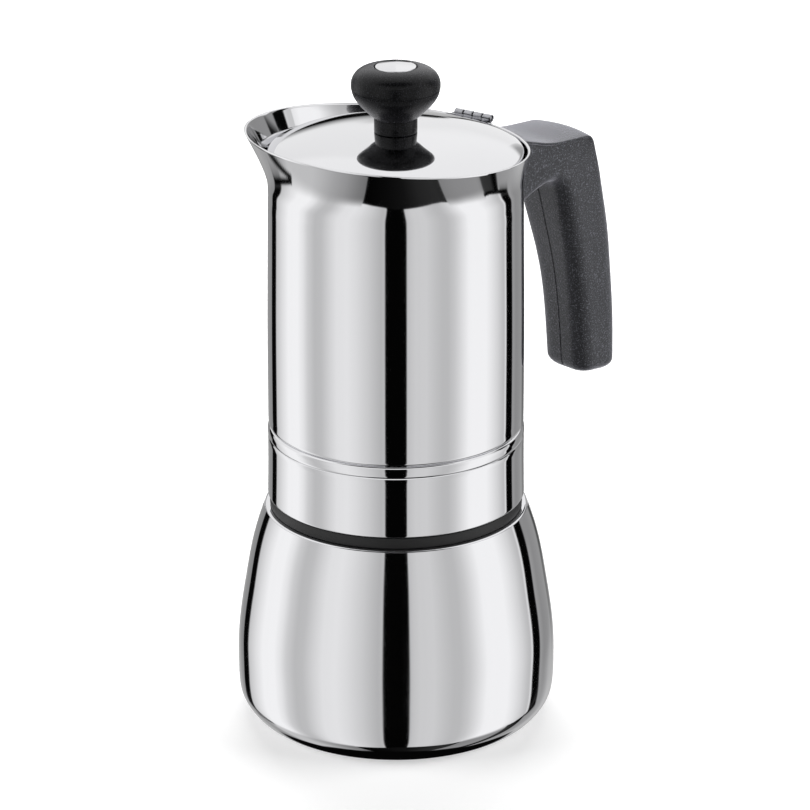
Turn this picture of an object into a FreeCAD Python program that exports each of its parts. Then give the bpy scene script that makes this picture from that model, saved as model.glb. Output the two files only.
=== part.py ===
"""Stovetop moka pot for six cups, about 211 mm tall, with its working pieces.

Millimetres, +Z up. The origin is the centre of the base on the hob plane and the
handle points along +X. The boiler carries a screw-on jug with a hinged lid.
"""

import FreeCAD, Part
import math
import os

import Sketcher
from FreeCAD import Placement, Rotation, Vector

DIMENSIONS = [
    ("boiler_radius", 50.2, "widest radius of the boiler"),
    ("foot_radius", 43.4, "radius of the boiler's foot on the hob"),
    ("shoulder_radius", 41.3, "radius at the boiler's upper edge"),
    ("shoulder_height", 68.9, "height of the boiler's upper edge"),
    ("boiler_wall", 1.0, "sheet thickness of the boiler"),
    ("neck_radius", 34.8, "outside of the threaded neck"),
    ("neck_bore", 33.4, "bore of the neck"),
    ("neck_top", 84.0, "height of the neck's lip"),
    ("thread_pitch", 3.0, "pitch of the neck's rolled thread"),
    ("thread_depth", 0.8, "how far the thread stands out of the neck"),
    ("base_thickness", 2.6, "thickness of the base disc"),
    ("ring_radius", 39.6, "outside of the black ring"),
    ("collar_foot", 73.3, "height of the collar's lower edge"),
    ("collar_radius", 40.2, "radius of the collar at its lower edge"),
    ("collar_top", 96.3, "height of the groove above the collar"),
    ("jug_radius", 39.8, "radius of the jug's wall above the collar"),
    ("jug_waist", 39.05, "radius of the jug's wall below the flare"),
    ("jug_wall", 0.8, "sheet thickness of the jug"),
    ("flare_foot", 174.7, "height at which the mouth starts to flare"),
    ("rim_radius", 43.65, "radius of the rim's own circle"),
    ("rim_height", 188.3, "height of the rim circle's centre"),
    ("rim_shift", 2.96, "how far the rim's centre lies towards the lip"),
    ("rim_rise", 3.9, "how far the rim rises at the lip"),
    ("flare_power", 1.34, "how late the mouth flares"),
    ("lip_angle", 165.0, "direction of the pouring lip about Z"),
    ("floor_height", 90.2, "height of the jug's floor"),
    ("skirt_bore", 36.1, "bore of the jug's threaded skirt"),
    ("column_height", 160.0, "height of the column's outlet"),
    ("basket_radius", 28.0, "outside of the coffee basket"),
    ("basket_depth", 22.0, "depth of the coffee basket"),
    ("stem_radius", 4.2, "outside of the funnel's stem"),
    ("stem_foot", 10.0, "height of the stem's lower end"),
    ("gasket_bore", 27.5, "bore of the gasket"),
    ("gasket_radius", 33.6, "outside of the gasket"),
    ("lid_radius", 39.1, "radius of the lid's edge"),
    ("lid_wall", 0.7, "sheet thickness of the lid"),
    ("lid_crown", 190.3, "height of the lid's middle"),
    ("hinge_reach", 42.45, "distance of the hinge's axis from the pot's axis"),
    ("hinge_angle", 12.0, "direction of the hinge's middle about Z"),
    ("hinge_height", 185.1, "height of the hinge's axis"),
    ("hinge_width", 14.0, "length of the hinge's barrel"),
    ("knuckle_radius", 1.1, "outside of a hinge knuckle"),
    ("pin_radius", 0.6, "radius of the hinge pin"),
    ("knob_radius", 13.6, "widest radius of the knob"),
    ("knob_neck", 6.6, "radius of the knob's neck"),
    ("knob_top", 211.0, "height of the knob's top"),
    ("screw_radius", 2.0, "radius of the knob's and handle's screws"),
    ("handle_top", 178.0, "height of the handle's flat top"),
    ("handle_half_width", 12.4, "half of the handle's width at its top"),
    ("valve_height", 48.0, "height of the safety valve's axis"),
    ("valve_seat", 47.8, "distance of the valve's flat seat from the pot's axis"),
    ("valve_radius", 3.9, "radius of the valve's threaded body"),
]


class Dim:
    """A size from the sheet, carrying both its value and the text that binds it."""

    def __init__(self, value, text):
        self.value = float(value)
        self.text = text

    def _join(self, other, sign, value):
        if isinstance(other, Dim):
            return Dim(value, f"({self.text} {sign} {other.text})")
        return Dim(value, f"({self.text} {sign} {other})")

    def __add__(self, other):
        return self._join(other, "+", self.value + number(other))

    def __sub__(self, other):
        return self._join(other, "-", self.value - number(other))

    def __mul__(self, other):
        return self._join(other, "*", self.value * number(other))

    def __truediv__(self, other):
        return self._join(other, "/", self.value / number(other))

    def __neg__(self):
        return Dim(-self.value, f"(-{self.text})")


class Sizes:
    """Every driving dimension as an attribute."""


def number(size):
    """The value of a Dim, or the number itself."""
    return size.value if isinstance(size, Dim) else float(size)


def make_sheet(doc):
    """Write the driving dimensions and return them as bound sizes."""
    sheet = doc.addObject("Spreadsheet::Sheet", "dims")
    sizes = Sizes()
    for row, (alias, value, note) in enumerate(DIMENSIONS, start=1):
        sheet.set(f"A{row}", alias.replace("_", " "))
        sheet.set(f"B{row}", str(value))
        sheet.set(f"C{row}", note)
        sheet.setAlias(f"B{row}", alias)
        setattr(sizes, alias, Dim(value, f"dims.{alias}"))
    doc.recompute()
    return sizes


def bind(obj, prop, size):
    """Give a property its value and, where it comes from the sheet, its expression."""
    if isinstance(size, Dim):
        obj.setExpression(prop, size.text)
    else:
        setattr(obj, prop, size)


def new_body(doc, name):
    """An empty PartDesign body named after its node."""
    body = doc.addObject("PartDesign::Body", name)
    body.Label = name
    return body


def origin_feature(body, role):
    """One of the body's own origin planes or axes."""
    return next(item for item in body.Origin.OriginFeatures if item.Role == role)


def new_sketch(body, name, plane="XZ_Plane"):
    """A sketch flat on one of the body's origin planes."""
    sketch = body.newObject("Sketcher::SketchObject", name)
    sketch.AttachmentSupport = [(origin_feature(body, plane), "")]
    sketch.MapMode = "FlatFace"
    return sketch


def pin_point(sketch, edge, end, point):
    """Fix one end of an edge by its two coordinates, bound where they are sizes."""
    for kind, size in zip(("DistanceX", "DistanceY"), point):
        index = sketch.addConstraint(Sketcher.Constraint(kind, edge, end, number(size)))
        if isinstance(size, Dim):
            sketch.setExpression(f"Constraints[{index}]", size.text)


def vector(point):
    """A sketch point as a vector."""
    return Vector(number(point[0]), number(point[1]), 0)


def outline(sketch, items):
    """Draw a closed loop.

    A tuple is a corner. A list of tuples is a smooth curve through those points,
    from the corner before it to the corner after it.
    """
    corners = [item for item in items if isinstance(item, tuple)]
    curves = []
    for index, item in enumerate(items):
        if isinstance(item, tuple):
            follows = items[(index + 1) % len(items)]
            curves.append(follows if isinstance(follows, list) else [])
    first = sketch.GeometryCount
    for index, (corner, middle) in enumerate(zip(corners, curves)):
        after = corners[(index + 1) % len(corners)]
        if middle:
            curve = Part.BSplineCurve()
            curve.interpolate([vector(point) for point in [corner, *middle, after]])
            sketch.addGeometry(curve, False)
        else:
            sketch.addGeometry(Part.LineSegment(vector(corner), vector(after)), False)
    count = len(corners)
    for index, corner in enumerate(corners):
        edge = first + index
        before = first + (index - 1) % count
        sketch.addConstraint(Sketcher.Constraint("Coincident", before, 2, edge, 1))
        pin_point(sketch, edge, 1, corner)


def circle(sketch, centre, radius):
    """Draw a pinned circle, its centre and radius bound where they are sizes."""
    edge = sketch.addGeometry(Part.Circle(vector(centre), Vector(0, 0, 1), number(radius)), False)
    pin_point(sketch, edge, 3, centre)
    index = sketch.addConstraint(Sketcher.Constraint("Radius", edge, number(radius)))
    if isinstance(radius, Dim):
        sketch.setExpression(f"Constraints[{index}]", radius.text)


def revolve(body, name, items):
    """Turn a half section (radius, height) about the body's Z axis."""
    sketch = new_sketch(body, f"{name}_section")
    outline(sketch, items)
    solid = body.newObject("PartDesign::Revolution", name)
    solid.Profile = sketch
    solid.ReferenceAxis = (sketch, ["V_Axis"])
    solid.Angle = 360
    return solid


def turned(doc, name, items, place=None):
    """A sub-part that is one turned solid."""
    body = new_body(doc, name)
    revolve(body, f"{name}_turning", items)
    if place:
        body.Placement = place
    return body


def cut_through(body, name, sketch):
    """Cut a sketch right through the solid, both ways."""
    cut = body.newObject("PartDesign::Pocket", name)
    cut.Profile = sketch
    cut.Type = 1
    cut.SideType = "Symmetric"
    return cut


def blind_cut(body, name, sketch, depth, reverse=False):
    """Cut a sketch to a depth from its own plane."""
    cut = body.newObject("PartDesign::Pocket", name)
    cut.Profile = sketch
    cut.Type = 0
    cut.Reversed = reverse
    bind(cut, "Length", depth)
    return cut


def polar(body, name, features, count):
    """Repeat features evenly about the body's Z axis."""
    pattern = body.newObject("PartDesign::PolarPattern", name)
    pattern.Originals = features
    pattern.Axis = (origin_feature(body, "Z_Axis"), [""])
    pattern.Angle = 360
    pattern.Occurrences = count
    body.Tip = pattern
    return pattern


def offset_plane(sketch, height, turn=None):
    """Lift a sketch off its plane, and turn it if asked."""
    rotation = turn or Rotation()
    sketch.AttachmentOffset = Placement(Vector(0, 0, number(height)), rotation)
    if isinstance(height, Dim):
        sketch.setExpression("AttachmentOffset.Base.z", height.text)


def sideways(reach, height):
    """Placement that lays a turned piece along +Y, starting at a reach and height."""
    return Placement(Vector(0, number(reach), number(height)), Rotation(Vector(1, 0, 0), -90))


def place_sideways(body, reach, height):
    """Lay a piece along +Y and bind where it starts."""
    body.Placement = sideways(reach, height)
    body.setExpression(".Placement.Base.y", reach.text)
    body.setExpression(".Placement.Base.z", height.text)


def boiler_shell(doc, d):
    """The pressed boiler: closed floor, full belly, flat shoulder and threaded neck."""
    body = new_body(doc, "boiler_shell")
    wall = d.boiler_wall
    inset = [(2.8, 3.0), (0.8, 6.3), (0.1, 10.5), (0, 17.0), (0.25, 26.0), (1.3, 35.0), (2.7, 44.0),
             (4.5, 54.0), (6.5, 62.0)]
    outside = [(d.boiler_radius - step, z) for step, z in inset]
    inside = [(d.boiler_radius - step - wall, z) for step, z in reversed(inset[2:])]
    revolve(body, "shell", [
        (0, d.base_thickness),
        (d.foot_radius - 1.1, d.base_thickness),
        (d.foot_radius - 1.1, 0),
        (d.foot_radius, 0),
        outside,
        (d.shoulder_radius, d.shoulder_height),
        (d.shoulder_radius - 0.6, d.shoulder_height + 0.4),
        (d.neck_radius, d.shoulder_height + 0.4),
        (d.neck_radius, d.neck_top - 0.5),
        (d.neck_radius - 0.5, d.neck_top),
        (d.neck_bore, d.neck_top),
        (d.neck_bore, d.shoulder_height - 0.6),
        (d.shoulder_radius - 1.2, d.shoulder_height - 0.6),
        inside,
        (d.foot_radius + 1.4, d.base_thickness + wall),
        (0, d.base_thickness + wall),
    ])
    seat = new_sketch(body, "valve_boss_section", "XZ_Plane")
    circle(seat, (0, d.valve_height), 7.6)
    offset_plane(seat, -d.valve_seat)
    boss = body.newObject("PartDesign::Pad", "valve_boss")
    boss.Profile = seat
    boss.Length = 3.2
    bore = new_sketch(body, "valve_bore_section", "XZ_Plane")
    circle(bore, (0, d.valve_height), d.valve_radius + 0.1)
    offset_plane(bore, -d.valve_seat - 1)
    blind_cut(body, "valve_bore", bore, 8, reverse=True)
    doc.recompute()
    ridge = new_sketch(body, "thread_section")
    start = d.shoulder_height + 6.2
    outline(ridge, [
        (d.neck_radius - 0.3, start),
        (d.neck_radius + d.thread_depth, start + 0.7),
        (d.neck_radius + d.thread_depth, start + 1.1),
        (d.neck_radius - 0.3, start + 1.8),
    ])
    thread = body.newObject("PartDesign::AdditiveHelix", "thread")
    thread.Profile = ridge
    thread.ReferenceAxis = (ridge, ["V_Axis"])
    thread.Mode = "pitch-height-angle"
    thread.Height = 6.6
    bind(thread, "Pitch", d.thread_pitch)
    doc.recompute()
    return body


def base_disc(doc, d):
    """The thick heat-spreading disc that fills the foot and rests on the hob."""
    radius = d.foot_radius - 1.2
    return turned(doc, "base_disc", [
        (0, 0),
        (radius - 0.4, 0),
        (radius, 0.4),
        (radius, d.base_thickness),
        (0, d.base_thickness),
    ])


def joint_ring(doc, d):
    """The black ring on the boiler's shoulder, just inside the collar's line."""
    foot = d.shoulder_height + 0.4
    return turned(doc, "joint_ring", [
        (d.neck_radius + 0.1, foot),
        (d.ring_radius, foot),
        (d.ring_radius, d.collar_foot - 0.8),
        (d.ring_radius - 0.5, d.collar_foot - 0.3),
        (d.neck_radius + 0.1, d.collar_foot - 0.3),
    ])


def hexagon(body, name, across_flats, foot, height):
    """Pad a hexagon on the body's XY plane."""
    sketch = new_sketch(body, f"{name}_section", "XY_Plane")
    offset_plane(sketch, foot)
    radius = across_flats / math.sqrt(3)
    outline(sketch, [(radius * math.cos(math.radians(60 * k)), radius * math.sin(math.radians(60 * k)))
                     for k in range(6)])
    pad = body.newObject("PartDesign::Pad", name)
    pad.Profile = sketch
    pad.Length = height
    return pad


def valve_body(doc, d):
    """The brass safety valve: hexagon and nose outside, threaded shank through the wall."""
    body = new_body(doc, "valve_body")
    hexagon(body, "hexagon", 10.0, 0.0, 4.2)
    revolve(body, "shank_and_nose", [
        (1.3, -10.0),
        (d.valve_radius - 0.4, -10.0),
        (d.valve_radius, -9.6),
        (d.valve_radius, 0),
        (5.6, 0),
        (5.6, 0.8),
        (4.2, 4.2),
        (4.2, 7.2),
        (3.6, 8.0),
        (1.3, 8.0),
    ])
    bore = new_sketch(body, "bore_section")
    outline(bore, [
        (0, -10.5), (1.3, -10.5), (1.3, -7.0), (2.6, -5.6), (2.6, 6.4), (1.3, 6.4), (1.3, 8.5), (0, 8.5),
    ])
    groove = body.newObject("PartDesign::Groove", "bore")
    groove.Profile = bore
    groove.ReferenceAxis = (bore, ["V_Axis"])
    groove.Angle = 360
    place_sideways(body, d.valve_seat, d.valve_height)
    return body


def valve_nut(doc, d):
    """The hexagon nut that holds the valve from inside the boiler."""
    body = new_body(doc, "valve_nut")
    hexagon(body, "hexagon", 11.0, 0.0, 2.8)
    bore = new_sketch(body, "bore_section", "XY_Plane")
    circle(bore, (0, 0), d.valve_radius + 0.05)
    cut_through(body, "bore", bore)
    place_sideways(body, d.valve_seat - 7.0, d.valve_height)
    return body


def valve_washer(doc, d):
    """The fibre washer between the nut and the boiler's wall."""
    washer = turned(doc, "valve_washer", [
        (d.valve_radius + 0.1, 0), (6.4, 0), (6.4, 0.9), (d.valve_radius + 0.1, 0.9),
    ])
    place_sideways(washer, d.valve_seat - 4.15, d.valve_height)
    return washer


def valve_poppet(doc, d):
    """The steel poppet: a cone on the inner seat and a pin through the valve's nose."""
    poppet = turned(doc, "valve_poppet", [
        (0, -6.6), (1.25, -6.6), (2.2, -5.45), (2.2, -4.9), (1.2, -4.9), (1.2, 8.9), (0.9, 9.3), (0, 9.3),
    ])
    place_sideways(poppet, d.valve_seat, d.valve_height)
    return poppet


def valve_spring(doc, d):
    """The coil spring that holds the poppet on its seat."""
    body = new_body(doc, "valve_spring")
    wire = new_sketch(body, "wire_section")
    circle(wire, (1.9, 0), 0.3)
    coil = body.newObject("PartDesign::AdditiveHelix", "coil")
    coil.Profile = wire
    coil.ReferenceAxis = (wire, ["V_Axis"])
    coil.Mode = "pitch-height-angle"
    coil.Pitch = 1.9
    coil.Height = 9.0
    place_sideways(body, d.valve_seat - 3.2, d.valve_height)
    return body


def funnel(doc, d):
    """The coffee basket with its flange on the neck's lip and its stem into the water."""
    lip = d.neck_top
    wall = 0.6
    floor = lip - d.basket_depth
    return turned(doc, "funnel", [
        (d.stem_radius - wall, d.stem_foot),
        (d.stem_radius, d.stem_foot),
        (d.stem_radius, floor - 9.0),
        (d.stem_radius + 1.5, floor - 7.0),
        (d.basket_radius - 3.0, floor - 1.6),
        (d.basket_radius, floor + 1.2),
        (d.basket_radius, lip),
        (d.neck_radius - 0.6, lip),
        (d.neck_radius - 0.6, lip + wall),
        (d.basket_radius - wall, lip + wall),
        (d.basket_radius - wall, floor + 1.4),
        (d.basket_radius - 3.3, floor - 0.9),
        (d.stem_radius + 1.1, floor - 6.3),
        (d.stem_radius - wall, floor - 8.6),
    ])


def perforated(doc, name, section, hole, rings):
    """A turned plate with rings of small holes: (radius, count) each."""
    body = new_body(doc, name)
    revolve(body, f"{name}_disc", section)
    for index, (radius, count) in enumerate(rings):
        sketch = new_sketch(body, f"{name}_hole_{index}", "XY_Plane")
        circle(sketch, (radius, 0), hole)
        doc.recompute()
        cut = cut_through(body, f"{name}_cut_{index}", sketch)
        doc.recompute()
        polar(body, f"{name}_ring_{index}", [cut], count)
    doc.recompute()
    return body


def funnel_plate(doc, d):
    """The perforated plate in the bottom of the coffee basket."""
    base = d.neck_top - d.basket_depth + 1.6
    radius = d.basket_radius - 0.9
    return perforated(doc, "funnel_plate", [
        (0, base), (radius, base), (radius, base + 0.6), (0, base + 0.6),
    ], 0.7, [(5, 6), (10, 12), (15, 18), (20, 24), (24, 30)])


def gasket(doc, d):
    """The sealing ring that the jug presses onto the funnel's flange."""
    foot = d.neck_top + 0.6
    return turned(doc, "gasket", [
        (d.gasket_bore, foot + 0.4),
        (d.gasket_bore + 0.4, foot),
        (d.gasket_radius - 0.4, foot),
        (d.gasket_radius, foot + 0.4),
        (d.gasket_radius, foot + 3.4),
        (d.gasket_bore, foot + 3.4),
    ])


def filter_plate(doc, d):
    """The perforated plate inside the gasket, with a rolled edge."""
    base = d.neck_top + 1.8
    radius = d.gasket_bore - 0.3
    return perforated(doc, "filter_plate", [
        (0, base + 0.6), (radius - 2.2, base + 0.6), (radius - 1.6, base), (radius, base),
        (radius, base + 0.6), (radius - 1.3, base + 0.6), (radius - 1.9, base + 1.2), (0, base + 1.2),
    ], 0.6, [(4.5, 6), (9, 12), (13.5, 18), (18, 24), (22.5, 30)])


def collar(doc, d):
    """The jug's lower collar: a slightly tapered band with a rounded bead on top."""
    bore = d.jug_waist - 0.25
    bead = d.collar_radius - 0.2
    return turned(doc, "collar", [
        (d.collar_radius - 0.5, d.collar_foot),
        (d.collar_radius, d.collar_foot + 0.5),
        (bead - 0.1, d.collar_top - 3.9),
        (bead - 0.35, d.collar_top - 3.6),
        [(bead, d.collar_top - 2.9), (bead + 0.05, d.collar_top - 1.9), (bead - 0.1, d.collar_top - 0.8)],
        (d.collar_radius - 0.65, d.collar_top),
        (bore, d.collar_top),
        (bore, d.collar_foot + 0.6),
        (bore + 0.6, d.collar_foot),
    ])


def station(body, name, d, step, radius):
    """One tilted circle of the flare; step runs from 0 at its foot to 1 at the rim."""
    grown = step ** number(d.flare_power)
    lip = math.radians(number(d.lip_angle))
    tilt = math.degrees(math.atan(number(d.rim_rise) / number(d.rim_radius))) * step
    along = Vector(math.cos(lip), math.sin(lip), 0)
    across = Vector(-math.sin(lip), math.cos(lip), 0)
    sketch = new_sketch(body, name, "XY_Plane")
    circle(sketch, (0, 0), radius)
    height = d.flare_foot + (d.rim_height - d.flare_foot) * step
    centre = along * number(d.rim_shift) * grown
    centre.z = number(height)
    sketch.AttachmentOffset = Placement(centre, Rotation(across, -tilt))
    sketch.setExpression("AttachmentOffset.Base.z", height.text)
    return sketch


def flare_radius(d, step):
    """Outside radius of the flare's circle at a step."""
    return d.jug_waist + (d.rim_radius - d.jug_waist) * step ** number(d.flare_power)


def jug_shell(doc, d):
    """The jug's wall and its trumpet mouth, which leans towards the pouring lip."""
    body = new_body(doc, "jug_shell")
    wall = d.jug_wall
    seat = d.jug_waist - 0.3
    foot = d.floor_height + 0.1
    revolve(body, "wall", [
        (seat - wall, foot),
        (seat, foot),
        (seat, d.collar_top + 0.1),
        (d.jug_radius - 0.35, d.collar_top + 0.3),
        (d.jug_radius, d.collar_top + 1.2),
        [(d.jug_radius - 0.1, 126.0), (d.jug_radius - 0.44, 152.0)],
        (d.jug_waist, d.flare_foot),
        (d.jug_waist - wall, d.flare_foot),
        (d.jug_radius - wall - 0.3, d.collar_top + 2.4),
        (seat - wall, d.collar_top + 1.0),
    ])
    steps = [0.0, 0.2, 0.4, 0.6, 0.8, 1.0]
    outer = [station(body, f"mouth_{index}", d, step, flare_radius(d, step))
             for index, step in enumerate(steps)]
    mouth = body.newObject("PartDesign::AdditiveLoft", "mouth")
    mouth.Profile = outer[0]
    mouth.Sections = outer[1:]
    doc.recompute()
    inner = [station(body, f"throat_{index}", d, step, flare_radius(d, step) - wall)
             for index, step in enumerate([*steps[:-1], 1.03])]
    throat = body.newObject("PartDesign::SubtractiveLoft", "throat")
    throat.Profile = inner[0]
    throat.Sections = inner[1:]
    doc.recompute()
    return body


def jug_floor(doc, d):
    """The jug's floor with the threaded skirt that screws onto the boiler's neck."""
    top = d.floor_height
    rim = d.jug_waist - 0.35
    skirt = d.skirt_bore + 1.4
    return turned(doc, "jug_floor", [
        (4.6, top - 1),
        (d.skirt_bore - 1.8, top - 1),
        (d.skirt_bore - 1.8, top - 2.6),
        (d.skirt_bore, top - 2.6),
        (d.skirt_bore, d.collar_foot + 1.0),
        (skirt, d.collar_foot + 1.0),
        (skirt, top - 2.0),
        (rim, top - 1.4),
        (rim, top),
        (4.6, top),
    ])


def column(doc, d):
    """The column that the coffee rises through, welded to the floor by its flange."""
    foot = d.floor_height
    top = d.column_height - 2
    return turned(doc, "column", [
        (4.0, foot - 3.0),
        (4.6, foot - 3.0),
        (4.6, foot),
        (12.5, foot),
        (12.5, foot + 0.7),
        (9.2, foot + 1.4),
        (8.2, foot + 4.0),
        (6.3, top),
        (5.5, top),
        (7.4, foot + 4.0),
        (4.0, foot + 1.0),
    ])


def column_cap(doc, d):
    """The cap on the column, with two slots that turn the coffee outwards."""
    body = new_body(doc, "column_cap")
    foot = d.column_height - 6
    revolve(body, "cap", [
        (7.0, foot),
        (7.7, foot),
        (7.7, d.column_height + 4),
        [(7.2, 166.2), (5.6, 167.6), (3.0, 168.5)],
        (0, d.column_height + 8.7),
        (0, d.column_height + 8.0),
        [(2.9, 167.8), (5.2, 166.9), (6.6, 165.7)],
        (7.0, d.column_height + 4),
    ])
    slot = new_sketch(body, "slot_section", "YZ_Plane")
    low = d.column_height + 0.6
    outline(slot, [(-3.2, low), (3.2, low), (3.2, low + 4.2), (-3.2, low + 4.2)])
    cut_through(body, "slots", slot)
    return body


def lid(doc, d):
    """The shallow domed lid, its edge turned down, with the knob screw's hole."""
    wall = d.lid_wall
    edge = d.lid_radius
    crown = d.lid_crown
    hole = d.screw_radius + 0.15
    return turned(doc, "lid", [
        (hole, crown),
        [(8.0, 190.2), (15.0, 189.8), (25.0, 188.9), (33.0, 187.2)],
        (edge - 0.7, crown - 5.5),
        (edge, crown - 6.3),
        (edge, crown - 7.6),
        (edge - wall, crown - 7.6),
        (edge - wall, crown - 6.6),
        (edge - 1.3, crown - 6.2),
        [(32.8, 186.5), (24.9, 188.2), (15.0, 189.1), (8.0, 189.5)],
        (hole, crown - wall),
    ])


def knob(doc, d):
    """The moulded knob: a slim neck that swells to a full round head."""
    top = d.knob_top
    return turned(doc, "knob", [
        (d.screw_radius + 0.1, d.lid_crown + 0.1),
        (d.knob_neck + 0.2, d.lid_crown + 0.1),
        (d.knob_neck, d.lid_crown + 3.0),
        [(7.2, 195.0), (8.7, 196.7), (10.6, 198.8), (12.5, 201.2)],
        (d.knob_radius, 204.6),
        [(13.5, 206.0), (12.95, 207.6), (11.7, 209.2), (9.9, 210.3)],
        (7.6, top - 0.2),
        (6.6, top - 0.3),
        (6.6, top - 1.6),
        (d.screw_radius + 0.1, top - 1.6),
    ])


def knob_cap(doc, d):
    """The small steel disc set in the knob's top."""
    top = d.knob_top
    return turned(doc, "knob_cap", [
        (0, top - 1.6), (6.3, top - 1.6), (6.3, top - 0.5), (5.9, top - 0.15), (0, top),
    ])


def screw(doc, name, head, radius, low, high):
    """A pan-head screw pointing up, its head below, with a cross recess."""
    body = new_body(doc, name)
    revolve(body, "turning", [
        (0, low - 2.2), (head - 1.2, low - 2.2), (head - 0.4, low - 1.7), (head, low - 0.6), (head, low),
        (radius, low), (radius, high - 0.8), (radius - 0.8, high), (0, high),
    ])
    recess = new_sketch(body, "recess_section", "XY_Plane")
    offset_plane(recess, low - 2.2)
    arm, half = 1.7, 0.35
    outline(recess, [(half, half), (half, arm), (-half, arm), (-half, half), (-arm, half), (-arm, -half),
                     (-half, -half), (-half, -arm), (half, -arm), (half, -half), (arm, -half), (arm, half)])
    doc.recompute()
    blind_cut(body, "recess", recess, 1.2, reverse=True)
    return body


def knob_screw(doc, d):
    """The screw that holds the knob from under the lid."""
    return screw(doc, "knob_screw", 3.6, d.screw_radius, d.lid_crown - 1.6, d.knob_top - 4.0)


def knob_washer(doc, d):
    """The washer between the knob screw's head and the lid."""
    base = d.lid_crown - 1.6
    return turned(doc, "knob_washer", [
        (d.screw_radius + 0.1, base), (5.2, base), (5.2, base + 0.8), (d.screw_radius + 0.1, base + 0.8),
    ])


def barrel(doc, name, d, spans, bore):
    """Rolled knuckles on the hinge's axis, one for each span along Y."""
    knuckles = []
    for index, (low, high) in enumerate(spans):
        tube = doc.addObject("Part::Cylinder", f"{name}_knuckle_{index}")
        bind(tube, "Radius", d.knuckle_radius)
        tube.Height = high - low
        tube.Placement = Placement(Vector(0, low, 0), Rotation(Vector(1, 0, 0), -90))
        knuckles.append(tube)
    eye = doc.addObject("Part::Cylinder", f"{name}_eye")
    bind(eye, "Radius", bore)
    bind(eye, "Height", d.hinge_width + 4)
    eye.Placement = Placement(Vector(0, -number(d.hinge_width) / 2 - 2, 0), Rotation(Vector(1, 0, 0), -90))
    return knuckles, eye


def plate(doc, name, section, low, high):
    """A flat-sided strip: a section in X and Z, extruded along Y."""
    corners = [Vector(x, low, z) for x, z in section]
    wire = doc.addObject("Part::Polygon", f"{name}_edge")
    wire.Nodes = corners
    wire.Close = True
    strip = doc.addObject("Part::Extrusion", name)
    strip.Base = wire
    strip.Dir = Vector(0, high - low, 0)
    strip.Solid = True
    return strip


def at_hinge(piece, d, lay):
    """Move a piece from the origin to the hinge's axis and bind it there."""
    turn = Rotation(Vector(0, 0, 1), number(d.hinge_angle))
    middle = turn.multVec(Vector(number(d.hinge_reach), 0, number(d.hinge_height)))
    piece.Placement = Placement(middle, turn * lay)
    piece.setExpression(".Placement.Base.x", f"{d.hinge_reach.text} * cos({d.hinge_angle.text} * 1 deg)")
    piece.setExpression(".Placement.Base.y", f"{d.hinge_reach.text} * sin({d.hinge_angle.text} * 1 deg)")
    piece.setExpression(".Placement.Base.z", d.hinge_height.text)


def leaf(doc, name, d, spans, section, tabs):
    """A hinge leaf: its knuckles, a tab to each and a plate, bored for the pin."""
    knuckles, eye = barrel(doc, name, d, spans, d.pin_radius + 0.08)
    half = number(d.hinge_width) / 2
    strip = plate(doc, f"{name}_plate", section, -half + 0.2, half - 0.2)
    parts = [*knuckles, strip]
    for index, (low, high) in enumerate(spans):
        parts.append(plate(doc, f"{name}_tab_{index}", tabs, low, high))
    whole = doc.addObject("Part::MultiFuse", f"{name}_whole")
    whole.Shapes = parts
    solid = doc.addObject("Part::Cut", name)
    solid.Base = whole
    solid.Tool = eye
    solid.Label = name
    at_hinge(solid, d, Rotation())
    return solid


def jug_leaf(doc, d):
    """The fixed leaf, welded to the outside of the mouth, with two knuckles."""
    return leaf(doc, "jug_leaf", d, [(-7.0, -3.6), (0.1, 3.4)],
                [(-1.55, -1.5), (-0.85, -1.6), (-2.15, -7.9), (-2.85, -7.7)],
                [(-0.95, -0.45), (-0.2, -1.05), (-0.85, -1.8), (-1.55, -1.6)])


def lid_leaf(doc, d):
    """The moving leaf, welded on top of the lid's edge, with two knuckles."""
    return leaf(doc, "lid_leaf", d, [(-3.4, -0.1), (3.6, 7.0)],
                [(-1.75, 0.46), (-3.1, 0.43), (-3.95, -0.05), (-5.6, 0.62), (-5.75, 1.1), (-4.0, 0.45),
                 (-3.2, 0.93), (-1.75, 0.98)],
                [(-0.35, 0.65), (-2.0, 0.46), (-2.1, 0.96), (-0.3, 1.06)])


def hinge_pin(doc, d):
    """The pin through all the knuckles, its ends set back inside them."""
    half = d.hinge_width / 2 - 0.5
    pin = turned(doc, "hinge_pin", [
        (0, -half), (d.pin_radius - 0.2, -half), (d.pin_radius, -half + 0.3),
        (d.pin_radius, half - 0.3), (d.pin_radius - 0.2, half), (0, half),
    ])
    at_hinge(pin, d, Rotation(Vector(1, 0, 0), -90))
    return pin


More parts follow.
